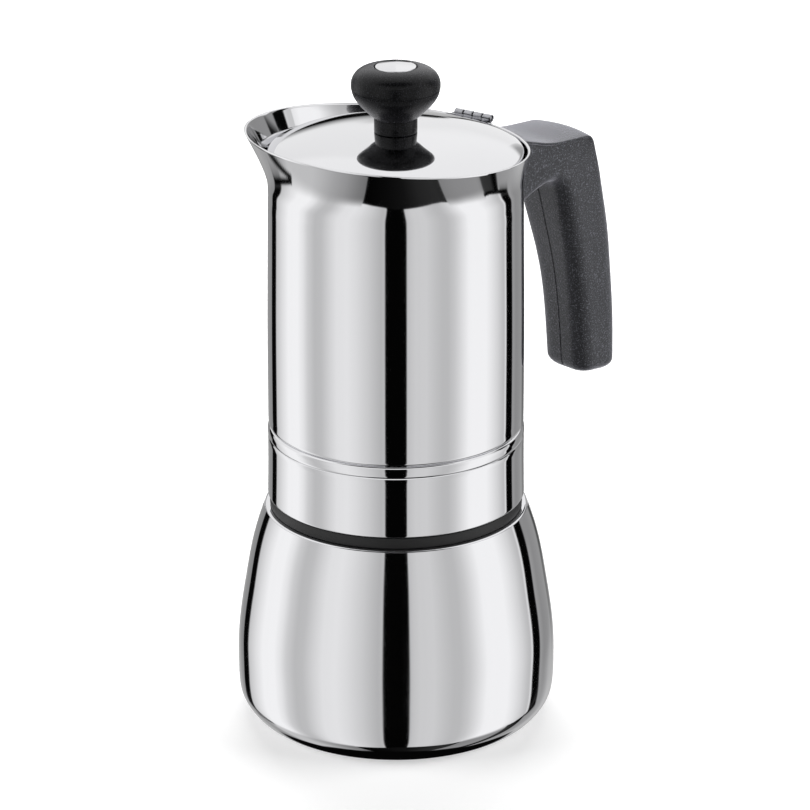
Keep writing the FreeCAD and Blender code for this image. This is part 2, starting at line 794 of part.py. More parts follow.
def rung(body, name, d, inner, outer, share, soft_in, soft_out, bow):
    """One cross-section of the handle, from a point of its inner line to one of its outer line.

    Points are (reach from the pot's axis, depth below the handle's top). The section is a
    rectangle with rounded corners whose outer side is bowed; share is its part of the full width.
    """
    half = number(d.handle_half_width) * share
    reach = outer[0] - inner[0]
    rise = inner[1] - outer[1]
    long = math.hypot(reach, rise)
    sketch = new_sketch(body, name, "YZ_Plane")
    tilt = Rotation(Vector(1, 0, 0), math.degrees(math.atan2(reach, rise)))
    foot = d.handle_top - inner[1]
    sketch.AttachmentOffset = Placement(Vector(0, number(foot), inner[0]), tilt)
    sketch.setExpression("AttachmentOffset.Base.y", foot.text)
    side = long - bow
    low, high = 0.293 * soft_in, 0.293 * soft_out
    arcs = [
        ((-half, soft_in), (-half + low, low), (-half + soft_in, 0)),
        ((half - soft_in, 0), (half - low, low), (half, soft_in)),
        ((half, side - soft_out), (half - high, side - high), (half - soft_out, side + 0.15 * bow)),
        ((half - soft_out, side + 0.15 * bow), (0, long), (-half + soft_out, side + 0.15 * bow)),
        ((-half + soft_out, side + 0.15 * bow), (-half + high, side - high), (-half, side - soft_out)),
    ]
    for first, middle, last in arcs:
        sketch.addGeometry(Part.Arc(vector(first), vector(middle), vector(last)), False)
    for before, after in ((0, 1), (1, 2), (4, 0)):
        line = Part.LineSegment(vector(arcs[before][2]), vector(arcs[after][0]))
        sketch.addGeometry(line, False)
    return sketch


RUNGS = [
    ((37.0, 20.8), (36.0, -5.0), 0.992, 3.0, 0.7, 0.3),
    ((45.0, 17.0), (46.0, -2.6), 0.996, 3.2, 0.7, 0.3),
    ((51.5, 14.5), (55.5, -0.4), 1.0, 3.6, 0.7, 0.3),
    ((57.3, 14.1), (66.0, 0.0), 1.0, 4.2, 0.8, 0.9),
    ((60.4, 16.8), (73.6, 1.2), 0.992, 4.6, 1.0, 2.2),
    ((62.2, 21.5), (78.2, 8.0), 0.968, 5.0, 2.0, 2.2),
    ((64.4, 29.5), (82.0, 18.4), 0.922, 5.2, 3.6, 2.3),
    ((67.6, 41.0), (86.1, 33.0), 0.852, 5.2, 4.8, 2.0),
    ((70.3, 54.0), (88.9, 50.0), 0.79, 5.2, 5.2, 1.6),
    ((72.0, 67.0), (90.5, 66.0), 0.774, 5.2, 5.2, 1.5),
    ((73.0, 79.4), (91.0, 79.0), 0.766, 5.2, 5.2, 1.5),
    ((73.7, 85.5), (91.2, 86.5), 0.766, 5.2, 5.2, 1.5),
]


def handle(doc, d):
    """The moulded handle: a flat-topped root on the jug and a grip that tapers downward."""
    body = new_body(doc, "handle")
    top = d.handle_top
    sections = [rung(body, f"rung_{index}", d, *sizes) for index, sizes in enumerate(RUNGS)]
    bar = body.newObject("PartDesign::AdditiveLoft", "bar")
    bar.Profile = sections[0]
    bar.Sections = sections[1:]
    doc.recompute()
    foot = new_sketch(body, "foot_section")
    outline(foot, [
        (60.0, 80.0),
        (100.0, 80.0),
        (100.0, top - 76.0),
        (91.8, top - 78.0),
        [(91.3, 97.4), (89.9, 95.2)],
        (86.8, top - 84.3),
        [(82.4, 93.2), (77.8, 94.2), (74.6, 96.2)],
        (72.4, top - 77.6),
        (60.0, top - 76.0),
    ])
    end = body.newObject("PartDesign::Pocket", "rounded_foot")
    end.Profile = foot
    end.Type = 1
    end.SideType = "Symmetric"
    doc.recompute()
    wall = new_sketch(body, "jug_clearance")
    outline(wall, [
        (0, 150), (d.jug_waist + 0.65, 150), (d.jug_waist + 0.45, 174.0), (40.3, top + 1.7),
        (40.9, top + 4.2), (41.6, top + 7.0), (0, top + 7.0),
    ])
    clear = body.newObject("PartDesign::Groove", "jug_clear")
    clear.Profile = wall
    clear.ReferenceAxis = (wall, ["V_Axis"])
    clear.Angle = 360
    doc.recompute()
    slot = new_sketch(body, "bracket_slot_section")
    outline(slot, [(38.0, 160.8), (41.9, 160.8), (41.9, 169.7), (56.3, 169.7), (56.3, 172.5), (38.0, 172.5)])
    pocket = body.newObject("PartDesign::Pocket", "bracket_slot")
    pocket.Profile = slot
    pocket.SideType = "Symmetric"
    pocket.Length = 13.0
    doc.recompute()
    bore = new_sketch(body, "screw_bore_section", "XY_Plane")
    offset_plane(bore, 150)
    circle(bore, (50.0, 0), d.screw_radius + 0.15)
    blind_cut(body, "screw_bore", bore, 26, reverse=True)
    sink = new_sketch(body, "screw_sink_section", "XY_Plane")
    offset_plane(sink, 150)
    circle(sink, (50.0, 0), 3.8)
    blind_cut(body, "screw_sink", sink, 16.8, reverse=True)
    notch = new_sketch(body, "hinge_notch_section")
    notch.AttachmentOffset = Placement(Vector(), Rotation(Vector(0, 1, 0), number(d.hinge_angle)))
    outline(notch, [
        (38.0, top - 1.8), (41.4, top - 1.8), (42.0, top + 2.6), (44.2, top + 2.6), (44.2, top + 9),
        (38.0, top + 9),
    ])
    relief = body.newObject("PartDesign::Pocket", "hinge_notch")
    relief.Profile = notch
    relief.SideType = "Symmetric"
    relief.Length = 15.0
    doc.recompute()
    return body


def handle_bracket(doc, d):
    """The steel angle welded to the jug, whose tongue the handle's screw grips."""
    body = new_body(doc, "handle_bracket")
    side = new_sketch(body, "angle_section")
    outline(side, [(39.0, 161.0), (41.6, 161.0), (41.6, 170.2), (56.0, 170.2), (56.0, 172.2), (39.0, 172.2)])
    angle = body.newObject("PartDesign::Pad", "angle")
    angle.Profile = side
    angle.SideType = "Symmetric"
    angle.Length = 12.4
    doc.recompute()
    wall = new_sketch(body, "wall_section")
    outline(wall, [(0, 150), (d.jug_waist + 0.42, 150), (d.jug_waist + 0.25, 175), (0, 175)])
    clear = body.newObject("PartDesign::Groove", "wall_seat")
    clear.Profile = wall
    clear.ReferenceAxis = (wall, ["V_Axis"])
    clear.Angle = 360
    doc.recompute()
    bore = new_sketch(body, "thread_section", "XY_Plane")
    offset_plane(bore, 165)
    circle(bore, (50.0, 0), d.screw_radius + 0.05)
    blind_cut(body, "thread", bore, 12, reverse=True)
    return body


def handle_screw(doc, d):
    """The screw that clamps the handle's root to the bracket from below."""
    body = screw(doc, "handle_screw", 3.6, d.screw_radius, d.handle_top - 11.5, d.handle_top - 3.5)
    body.Placement = Placement(Vector(50.0, 0, 0), Rotation())
    return body


PIECES = [
    boiler_shell, base_disc, joint_ring, valve_body, valve_nut, valve_washer, valve_poppet, valve_spring,
    funnel, funnel_plate, gasket, filter_plate, collar, jug_shell, jug_floor, column, column_cap,
    lid, knob, knob_cap, knob_screw, knob_washer, jug_leaf, lid_leaf, hinge_pin,
    handle, handle_bracket, handle_screw,
]


def check(doc, pieces):
    """Stop if any object failed or any piece is not one valid solid."""
    for item in doc.Objects:
        if {"Invalid", "Error"} & set(item.State):
            raise RuntimeError(f"{item.Name} failed: {item.State}")
    for piece in pieces:
        shape = piece.Shape
        if shape.isNull() or not shape.isValid():
            raise RuntimeError(f"{piece.Label} has no valid shape")
        if len(shape.Solids) != 1:
            raise RuntimeError(f"{piece.Label} has {len(shape.Solids)} solids")
        print(f"{piece.Label}: {shape.Volume:.0f} mm3")


def main():
    """Build every piece, check the document and write one STEP file a piece."""
    doc = FreeCAD.newDocument("moka_pot")
    d = make_sheet(doc)
    pieces = [make(doc, d) for make in PIECES]
    doc.recompute()
    check(doc, pieces)
    os.makedirs("parts", exist_ok=True)
    for piece in pieces:
        piece.Shape.exportStep(os.path.join("parts", f"{piece.Label}.step"))


main()
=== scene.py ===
"""Stovetop moka pot: detailed pieces, finishes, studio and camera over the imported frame."""

import logging
import math
from dataclasses import dataclass
from enum import Enum
from typing import Any, Iterable, Sequence

import bmesh
import bpy
import numpy as np
from mathutils import Matrix, Vector


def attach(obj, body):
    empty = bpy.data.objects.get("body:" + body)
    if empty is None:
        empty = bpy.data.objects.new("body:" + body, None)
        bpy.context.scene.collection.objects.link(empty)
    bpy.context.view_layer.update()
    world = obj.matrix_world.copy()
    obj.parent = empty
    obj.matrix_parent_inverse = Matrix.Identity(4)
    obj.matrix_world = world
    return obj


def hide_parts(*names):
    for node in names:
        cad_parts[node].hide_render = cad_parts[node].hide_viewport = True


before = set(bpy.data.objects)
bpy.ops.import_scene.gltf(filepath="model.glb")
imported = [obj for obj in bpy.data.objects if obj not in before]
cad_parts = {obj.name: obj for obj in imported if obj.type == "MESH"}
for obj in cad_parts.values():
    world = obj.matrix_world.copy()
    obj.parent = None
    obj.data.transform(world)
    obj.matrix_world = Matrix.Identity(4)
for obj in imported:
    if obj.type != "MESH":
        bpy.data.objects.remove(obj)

LOG = logging.getLogger("moka_pot")
MM = 0.001
Point = tuple[float, float]
Section = tuple[Point, ...]
Table = tuple[Point, ...]
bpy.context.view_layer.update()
LAID = Matrix.Rotation(math.radians(-90), 4, "X")  # lays an upright turned piece along +Y


class Body(Enum):
    """The moving groups of the pot."""

    BOILER = "boiler"
    VALVE = "valve"
    FUNNEL = "funnel"
    SEAL = "seal"
    FILTER = "filter"
    JUG = "jug"
    LID = "lid"


# ---------------------------------------------------------------- small tools


def linear(code: str) -> tuple[float, float, float, float]:
    """Turn an sRGB hex code into a linear colour.

    Args:
        code: Six hex digits.

    Returns:
        Linear red, green, blue and an alpha of 1.
    """
    parts = [int(code[i:i + 2], 16) / 255 for i in (0, 2, 4)]
    lin = [c / 12.92 if c <= 0.04045 else ((c + 0.055) / 1.055) ** 2.4 for c in parts]
    return (lin[0], lin[1], lin[2], 1.0)


def add_node(
    tree: bpy.types.NodeTree,
    kind: str,
    settings: dict[str, Any] | None = None,
    links: dict[str | int, bpy.types.NodeSocket] | None = None,
) -> bpy.types.Node:
    """Add a node with its settings and the links into it.

    Args:
        tree: The tree the node goes into.
        kind: The node's type name.
        settings: Input defaults by socket name, or node properties by their name.
        links: Output sockets to join to this node's inputs, by name or number.

    Returns:
        The new node.
    """
    node = tree.nodes.new(kind)
    for key, value in (settings or {}).items():
        if hasattr(node, key):
            setattr(node, key, value)
        else:
            node.inputs[key].default_value = value
    for key, socket in (links or {}).items():
        tree.links.new(socket, node.inputs[key])
    return node


def spline(points: Sequence[Point], per_span: int = 12) -> list[Point]:
    """Draw a curve of continuous curvature through points.

    Args:
        points: The points, in order.
        per_span: How many samples each span between two points gets.

    Returns:
        Samples along the curve, the first and last points among them.
    """
    knots = np.array(points, float)
    chord = np.concatenate([[0], np.cumsum(np.linalg.norm(np.diff(knots, axis=0), axis=1))])
    gap = np.diff(chord)
    count = len(knots)
    system = np.eye(count)
    right = np.zeros_like(knots)
    for i in range(1, count - 1):
        system[i, i - 1:i + 2] = [gap[i - 1], 2 * (gap[i - 1] + gap[i]), gap[i]]
        right[i] = 6 * ((knots[i + 1] - knots[i]) / gap[i] - (knots[i] - knots[i - 1]) / gap[i - 1])
    bend = np.linalg.solve(system, right)
    samples = []
    for i in range(count - 1):
        for step in range(per_span):
            t = gap[i] * step / per_span
            rest = gap[i] - t
            samples.append(
                (bend[i] * rest ** 3 + bend[i + 1] * t ** 3) / (6 * gap[i])
                + (knots[i] / gap[i] - bend[i] * gap[i] / 6) * rest
                + (knots[i + 1] / gap[i] - bend[i + 1] * gap[i] / 6) * t
            )
    samples.append(knots[-1])
    return [tuple(map(float, sample)) for sample in samples]


def fillet(before: Point, corner: Point, after: Point, radius: float, steps: int = 4) -> list[Point]:
    """Round a profile's corner.

    Args:
        before: The point before the corner.
        corner: The sharp corner.
        after: The point after the corner.
        radius: How far from the corner the rounding starts.
        steps: How many spans the rounding has.

    Returns:
        The points that take the corner's place.
    """
    c = np.array(corner)
    a = np.array(before) - c
    b = np.array(after) - c
    a, b = a / np.linalg.norm(a) * radius, b / np.linalg.norm(b) * radius
    curve = []
    for step in range(steps + 1):
        t = step / steps
        point = c + a * (1 - t) ** 2 + b * t ** 2
        curve.append((float(point[0]), float(point[1])))
    return curve


def ease(value: float) -> float:
    """A smooth step from 0 to 1."""
    value = min(max(value, 0.0), 1.0)
    return value * value * (3 - 2 * value)


def blend(tone: float, other: float, share: float) -> float:
    """A tone with an eased share of another in it."""
    return tone + (other - tone) * ease(share)


def read(table: Table, place: float) -> float:
    """A table's value at a place, straight between its rows."""
    places, values = zip(*table)
    return float(np.interp(place, places, values))


def soft_start(step: float, softness: float) -> float:
    """Near 0 below a step of 0 and near the step above it, with a bend of this softness."""
    return (math.sqrt(step * step + softness * softness) + step) / 2


def rounded(profile: Sequence[Point], radius: float, steps: int = 3) -> list[Point]:
    """Round every sharp corner of a closed profile, but for those on the axis.

    Args:
        profile: The profile's corners, in order.
        radius: How far from a corner its rounding starts, where its sides have the room.
        steps: How many spans each rounding has.

    Returns:
        The rounded profile.
    """
    sharp = 25.0
    result: list[Point] = []
    count = len(profile)
    for i, corner in enumerate(profile):
        before, after = profile[i - 1], profile[(i + 1) % count]
        a = np.array(corner) - np.array(before)
        b = np.array(after) - np.array(corner)
        turn = math.degrees(abs(math.atan2(a[0] * b[1] - a[1] * b[0], float(a @ b))))
        reach = min(radius, 0.45 * float(np.linalg.norm(a)), 0.45 * float(np.linalg.norm(b)))
        on_axis = corner[0] < 1e-6
        result += [corner] if turn < sharp or on_axis else fillet(before, corner, after, reach, steps)
    return result


def put(name: str, data: bpy.types.ID) -> bpy.types.Object:
    """Put data into the scene as an object.

    Args:
        name: The object's name.
        data: Its mesh, lamp or camera.

    Returns:
        The new object, at the origin.
    """
    thing = bpy.data.objects.new(name, data)
    bpy.context.scene.collection.objects.link(thing)
    return thing


def grid_mesh(name: str, rings: np.ndarray, closed_rings: bool = True) -> bpy.types.Mesh:
    """Skin a stack of rings, all with the same number of points.

    Args:
        name: The mesh's name.
        rings: Ring, point and coordinate, in millimetres.
        closed_rings: Whether the last ring joins the first, as in a ring-shaped solid.

    Returns:
        The mesh, in metres, doubles merged and normals out.
    """
    count, around = rings.shape[:2]
    vertices = (rings.reshape(-1, 3) * MM).tolist()
    faces = []
    for i in range(count if closed_rings else count - 1):
        j = (i + 1) % count
        for k in range(around):
            n = (k + 1) % around
            faces.append((i * around + k, i * around + n, j * around + n, j * around + k))
    if not closed_rings:
        faces.append(tuple(range(around - 1, -1, -1)))
        faces.append(tuple((count - 1) * around + k for k in range(around)))
    mesh = bpy.data.meshes.new(name)
    mesh.from_pydata(vertices, [], faces)
    tidy(mesh)
    return mesh


def tidy(mesh: bpy.types.Mesh) -> None:
    """Merge doubles, drop collapsed faces and turn every face outwards.

    Args:
        mesh: The mesh, which is changed in place.
    """
    work = bmesh.new()
    work.from_mesh(mesh)
    bmesh.ops.remove_doubles(work, verts=work.verts, dist=1e-6)
    bmesh.ops.dissolve_degenerate(work, edges=work.edges, dist=1e-7)
    bmesh.ops.recalc_face_normals(work, faces=work.faces)
    if work.calc_volume(signed=True) < 0:
        bmesh.ops.reverse_faces(work, faces=work.faces)
    work.to_mesh(mesh)
    work.free()


def lathe(name: str, profile: Sequence[Point], around: int = 192) -> bpy.types.Mesh:
    """Turn a closed half section about the pot's axis.

    Args:
        name: The mesh's name.
        profile: Radius and height of each corner, in millimetres, in order.
        around: How many points each ring has.

    Returns:
        The solid's mesh.
    """
    angle = np.linspace(0, 2 * math.pi, around, endpoint=False)
    section = np.array(profile)
    rings = np.stack([
        section[:, :1] * np.cos(angle)[None],
        section[:, :1] * np.sin(angle)[None],
        np.repeat(section[:, 1:], around, axis=1),
    ], axis=-1)
    return grid_mesh(name, rings)


def placed(mesh: bpy.types.Mesh, matrix: Matrix) -> bpy.types.Mesh:
    """Move a mesh's points, and keep its faces outwards.

    Args:
        mesh: The mesh.
        matrix: Where it goes.

    Returns:
        The same mesh, in its place.
    """
    mesh.transform(matrix)
    tidy(mesh)
    return mesh


def sideways(reach: float, height: float) -> Matrix:
    """The matrix that lays an upright turned piece along +Y at a reach and height in mm."""
    return Matrix.Translation((0, reach * MM, height * MM)) @ LAID


def join(name: str, meshes: Iterable[bpy.types.Mesh]) -> bpy.types.Mesh:
    """Put several meshes into one.

    Args:
        name: The new mesh's name.
        meshes: The meshes.

    Returns:
        One mesh with all their faces.
    """
    work = bmesh.new()
    for mesh in meshes:
        work.from_mesh(mesh)
    joined = bpy.data.meshes.new(name)
    work.to_mesh(joined)
    work.free()
    return joined


def strip(name: str, section: Sequence[Point], low: float, high: float) -> bpy.types.Mesh:
    """Pull a section in X and Z out along Y.

    Args:
        name: The mesh's name.
        section: The section's corners, in millimetres.
        low: Y of one end, mm.
        high: Y of the other end, mm.

    Returns:
        The closed strip, its ends slightly softened.
    """
    flat = np.array(section)
    middle = flat.mean(axis=0)
    rings = []
    for y, shrink in ((low, 0.9), (low + 0.06, 1.0), (high - 0.06, 1.0), (high, 0.9)):
        edge = middle + (flat - middle) * shrink
        rings.append(np.stack([edge[:, 0], np.full(len(edge), y), edge[:, 1]], axis=-1))
    return grid_mesh(name, np.array(rings), closed_rings=False)


def carve(mesh: bpy.types.Mesh, tools: Sequence[bpy.types.Mesh]) -> bpy.types.Mesh:
    """Cut closed shapes out of a closed mesh.

    Args:
        mesh: The mesh to cut.
        tools: The shapes to take away.

    Returns:
        What is left.
    """
    things = [put(f"{mesh.name}_blank", item) for item in (mesh, *tools)]
    for cutter in things[1:]:
        cut = things[0].modifiers.new(cutter.name, "BOOLEAN")
        cut.operation = "DIFFERENCE"
        cut.solver = "EXACT"
        cut.object = cutter
    bpy.context.view_layer.update()
    graph = bpy.context.evaluated_depsgraph_get()
    result = bpy.data.meshes.new_from_object(things[0].evaluated_get(graph)).copy()
    for thing in things:
        bpy.data.objects.remove(thing)
    return result


def install(name: str, mesh: bpy.types.Mesh, material: bpy.types.Material, body: Body, slot: str,
            *nodes: str, smooth_angle: float = 40.0) -> None:
    """Shade and dress a finished mesh, let it ride on its body and stand for its nodes.

    Args:
        name: The piece's name.
        mesh: The mesh, in metres in the row frame.
        material: The finish.
        body: The group it moves with.
        slot: The record's material slot; not used.
        nodes: The plain nodes it stands for.
        smooth_angle: Edges sharper than this many degrees stay crisp.
    """
    mesh.shade_smooth()
    mesh.set_sharp_from_angle(angle=math.radians(smooth_angle))
    mesh.materials.clear()
    mesh.materials.append(material)
    thing = put(name, mesh)
    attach(thing, body.value)
    if nodes:
        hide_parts(*nodes)
    LOG.info("%s rides on %s, %d faces", name, body.value, len(mesh.polygons))


def redress(material: bpy.types.Material, *nodes: str) -> None:
    """Give nodes that keep their own shape a detailed finish.

    Args:
        material: The finish.
        nodes: The nodes' names.
    """
    for node in nodes:
        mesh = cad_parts[node].data
        mesh.materials.clear()
        mesh.materials.append(material)
        LOG.info("%s keeps its shape, in %s", node, material.name)


# ------------------------------------------------------------------- finishes


def bare_material(name: str) -> bpy.types.Material:
    """Start a node material.

    Args:
        name: The material's name.

    Returns:
        The material, its tree empty.
    """
    material = bpy.data.materials.new(name)
    material.use_nodes = True
    material.node_tree.nodes.clear()
    return material


def new_material(name: str) -> tuple[bpy.types.Material, bpy.types.Node, bpy.types.NodeSocket]:
    """Start a surface material.

    Args:
        name: The real material and finish.

    Returns:
        The material, its surface shader and the socket of its place on the piece.
    """
    material = bare_material(name)
    tree = material.node_tree
    shader = add_node(tree, "ShaderNodeBsdfPrincipled")
    add_node(tree, "ShaderNodeOutputMaterial", links={"Surface": shader.outputs["BSDF"]})
    return material, shader, add_node(tree, "ShaderNodeTexCoord").outputs["Object"]


def looked_at(tree: bpy.types.NodeTree) -> bpy.types.NodeSocket:
    """Tell the rays that look at a thing from those that carry its light on.

    Args:
        tree: The tree that asks.

    Returns:
        The socket that is 1 for rays from the eye, a mirror or glass, and 0 for the others.
    """
    path = add_node(tree, "ShaderNodeLightPath")
    mirrored = add_node(tree, "ShaderNodeMath", {"operation": "ADD"},
                        {0: path.outputs["Is Glossy Ray"], 1: path.outputs["Is Transmission Ray"]})
    return add_node(tree, "ShaderNodeMath", {"operation": "ADD"},
                    {0: path.outputs["Is Camera Ray"], 1: mirrored.outputs["Value"]}).outputs["Value"]


def work_surface(shader: bpy.types.Node, grain: bpy.types.NodeSocket, roughness: tuple[float, float],
                 height: bpy.types.NodeSocket, strength: float, depth_mm: float,
                 span: tuple[float, float] = (0.0, 1.0)) -> None:
    """Let a grain spread the roughness, and a height raise the relief.

    Args:
        shader: The surface shader.
        grain: What spreads the roughness.
        roughness: The smoothest and the roughest.
        height: What raises the relief.
        strength: How much of the relief shows.
        depth_mm: Depth of the relief.
        span: The grain's values that give the two roughnesses.
    """
    tree = shader.id_data
    spread = add_node(tree, "ShaderNodeMapRange",
                      {"From Min": span[0], "From Max": span[1], "To Min": roughness[0],
                       "To Max": roughness[1]}, {"Value": grain})
    tree.links.new(spread.outputs["Result"], shader.inputs["Roughness"])
    bump = add_node(tree, "ShaderNodeBump", {"Strength": strength, "Distance": depth_mm * MM},
                    {"Height": height})
    tree.links.new(bump.outputs["Normal"], shader.inputs["Normal"])


@dataclass(frozen=True)
class PolishedSteel:
    """18/10 stainless sheet, deep drawn, then buffed to a mirror.

    The buff leaves hair-fine lines around the piece and a faint haze that varies slowly,
    so reflections stay sharp but are not perfect. Drawing leaves long, very low waves. A real
    buff's lines are too fine to show, so they are drawn 0.35 mm apart.
    """

    name: str = "stainless_18_10_mirror_buffed"
    colour: str = "DEDEE0"
    roughness: float = 0.035
    haze: float = 0.035
    buff_mm: float = 0.35
    buff_stretch: float = 14.0
    cloud_mm: float = 24.0
    wave_mm: float = 38.0
    wave_height_mm: float = 0.01

    def build(self) -> bpy.types.Material:
        """Make the material.

        Returns:
            The finish, ready to dress a piece.
        """
        material, shader, place = new_material(self.name)
        tree = material.node_tree
        shader.inputs["Metallic"].default_value = 1.0
        shader.inputs["Base Color"].default_value = linear(self.colour)
        squeezed = add_node(tree, "ShaderNodeMapping", {"Scale": (1.0, 1.0, self.buff_stretch)},
                            {"Vector": place})
        lines = add_node(tree, "ShaderNodeTexNoise",
                         {"Scale": 1000 / (self.buff_mm * self.buff_stretch), "Detail": 3.0},
                         {"Vector": squeezed.outputs["Vector"]})
        cloud = add_node(tree, "ShaderNodeTexNoise", {"Scale": 1000 / self.cloud_mm, "Detail": 2.0},
                         {"Vector": place})
        mixed = add_node(tree, "ShaderNodeMath", {"operation": "MULTIPLY"},
                         {0: lines.outputs["Fac"], 1: cloud.outputs["Fac"]})
        waves = add_node(tree, "ShaderNodeTexNoise", {"Scale": 1000 / self.wave_mm, "Detail": 0.0},
                         {"Vector": place})
        work_surface(shader, mixed.outputs["Value"], (self.roughness, self.roughness + self.haze),
                     waves.outputs["Fac"], 1.0, self.wave_height_mm, span=(0.15, 0.45))
        return material


@dataclass(frozen=True)
class TurnedSteel:
    """Stainless steel left as it comes off a lathe or a satin belt.

    Concentric tool lines stretch highlights across them, and their rings are painted a slightly darker tone,
    a painted shade for the cut furrows.
    Real ones are a tenth of a millimetre apart, too fine to show, so they are drawn coarser.
    """

    name: str = "stainless_18_10_satin_turned"
    colour: str = "C9C9CB"
    roughness: float = 0.24
    groove_shade: str = "A9AAAD"
    line_mm: float = 0.45
    depth_mm: float = 0.02

    def build(self) -> bpy.types.Material:
        """Make the material.

        Returns:
            The finish, ready to dress a piece.
        """
        material, shader, place = new_material(self.name)
        tree = material.node_tree
        shader.inputs["Metallic"].default_value = 1.0
        apart = add_node(tree, "ShaderNodeSeparateXYZ", links={"Vector": place})
        square_x = add_node(tree, "ShaderNodeMath", {"operation": "MULTIPLY"},
                            {0: apart.outputs["X"], 1: apart.outputs["X"]})
        square = add_node(tree, "ShaderNodeMath", {"operation": "MULTIPLY_ADD"},
                          {0: apart.outputs["Y"], 1: apart.outputs["Y"], 2: square_x.outputs["Value"]})
        radius = add_node(tree, "ShaderNodeMath", {"operation": "SQRT"}, {0: square.outputs["Value"]})
        drop = add_node(tree, "ShaderNodeMath", {"operation": "ADD"},
                        {0: radius.outputs["Value"], 1: apart.outputs["Z"]})
        turns = add_node(tree, "ShaderNodeTexNoise",
                         {"noise_dimensions": "1D", "Scale": 1000 / self.line_mm, "Detail": 3.0},
                         {"W": drop.outputs["Value"]})
        # Painted shade: the tool rings swing the base colour towards a darker tone.
        tone = add_node(tree, "ShaderNodeMixRGB",
                        {"Color1": linear(self.colour), "Color2": linear(self.groove_shade)},
                        {"Fac": turns.outputs["Fac"]})
        tree.links.new(tone.outputs["Color"], shader.inputs["Base Color"])
        work_surface(shader, turns.outputs["Fac"], (self.roughness - 0.06, self.roughness + 0.1),
                     turns.outputs["Fac"], 0.5, self.depth_mm)
        return material


@dataclass(frozen=True)
class MouldedNylon:
    """Glass-filled nylon, injection moulded in a spark-eroded mould.

    The grain is near black where it faces the eye and lifts to a grey bloom where it turns
    away, and the tops of its pimples are painted a paler base colour, a fine speckle of
    painted glints. Real pimples are about a quarter of a millimetre across, and are drawn a
    little coarser so that they show.
    """

    name: str = "glass_filled_nylon_spark_grain"
    colour: str = "242528"
    painted_glint_colour: str = "6C6D75"
    roughness: float = 0.33
    sheen: float = 0.75
    gloss: float = 0.24
    grain_mm: float = 0.42
    depth_mm: float = 0.08
    sheen_colour: str = "D8D8E2"
    refraction: float = 1.53

    def build(self) -> bpy.types.Material:
        """Make the material.

        Returns:
            The finish, ready to dress a piece.
        """
        material, shader, place = new_material(self.name)
        tree = material.node_tree
        shader.inputs["IOR"].default_value = self.refraction
        shader.inputs["Specular IOR Level"].default_value = self.gloss
        shader.inputs["Sheen Weight"].default_value = self.sheen
        shader.inputs["Sheen Roughness"].default_value = 0.4
        shader.inputs["Sheen Tint"].default_value = linear(self.sheen_colour)
        grain = add_node(tree, "ShaderNodeTexNoise",
                         {"Scale": 1000 / self.grain_mm, "Detail": 2.0, "Roughness": 0.6},
                         {"Vector": place})
        cells = add_node(tree, "ShaderNodeTexVoronoi", {"Scale": 1000 / (self.grain_mm * 1.3)},
                         {"Vector": place})
        relief = add_node(tree, "ShaderNodeMath", {"operation": "SUBTRACT"},
                          {0: grain.outputs["Fac"], 1: cells.outputs["Distance"]})
        # Painted glints: the grain's peaks get a paler base colour, whatever the light.
        painted_glints = add_node(tree, "ShaderNodeMapRange", {"From Min": 0.54, "From Max": 0.72},
                         {"Value": grain.outputs["Fac"]})
        mix = add_node(tree, "ShaderNodeMixRGB",
                       {"Color1": linear(self.colour), "Color2": linear(self.painted_glint_colour)},
                       {"Fac": painted_glints.outputs["Result"]})
        tree.links.new(mix.outputs["Color"], shader.inputs["Base Color"])
        work_surface(shader, grain.outputs["Fac"], (self.roughness - 0.07, self.roughness + 0.12),
                     relief.outputs["Value"], 0.7, self.depth_mm)
        return material


@dataclass(frozen=True)
class PlainFinish:
    """A small fitting's finish: one material with a fine uneven grain.

    Used for brass, silicone, fibre and bright screws, whose surfaces are even to the eye
    but never perfectly flat in tone.
    """

    name: str
    colour: str
    dark: str
    roughness: float
    metallic: float
    grain_mm: float
    depth_mm: float

    def build(self) -> bpy.types.Material:
        """Make the material.

        Returns:
            The finish, ready to dress a piece.
        """
        material, shader, place = new_material(self.name)
        tree = material.node_tree
        shader.inputs["Metallic"].default_value = self.metallic
        grain = add_node(tree, "ShaderNodeTexNoise",
                         {"Scale": 1000 / self.grain_mm, "Detail": 3.0, "Roughness": 0.55},
                         {"Vector": place})
        mix = add_node(tree, "ShaderNodeMixRGB",
                       {"Color1": linear(self.dark), "Color2": linear(self.colour)},
                       {"Fac": grain.outputs["Fac"]})
        tree.links.new(mix.outputs["Color"], shader.inputs["Base Color"])
        work_surface(shader, grain.outputs["Fac"], (self.roughness - 0.07, self.roughness + 0.09),
                     grain.outputs["Fac"], 0.5, self.depth_mm)
        return material


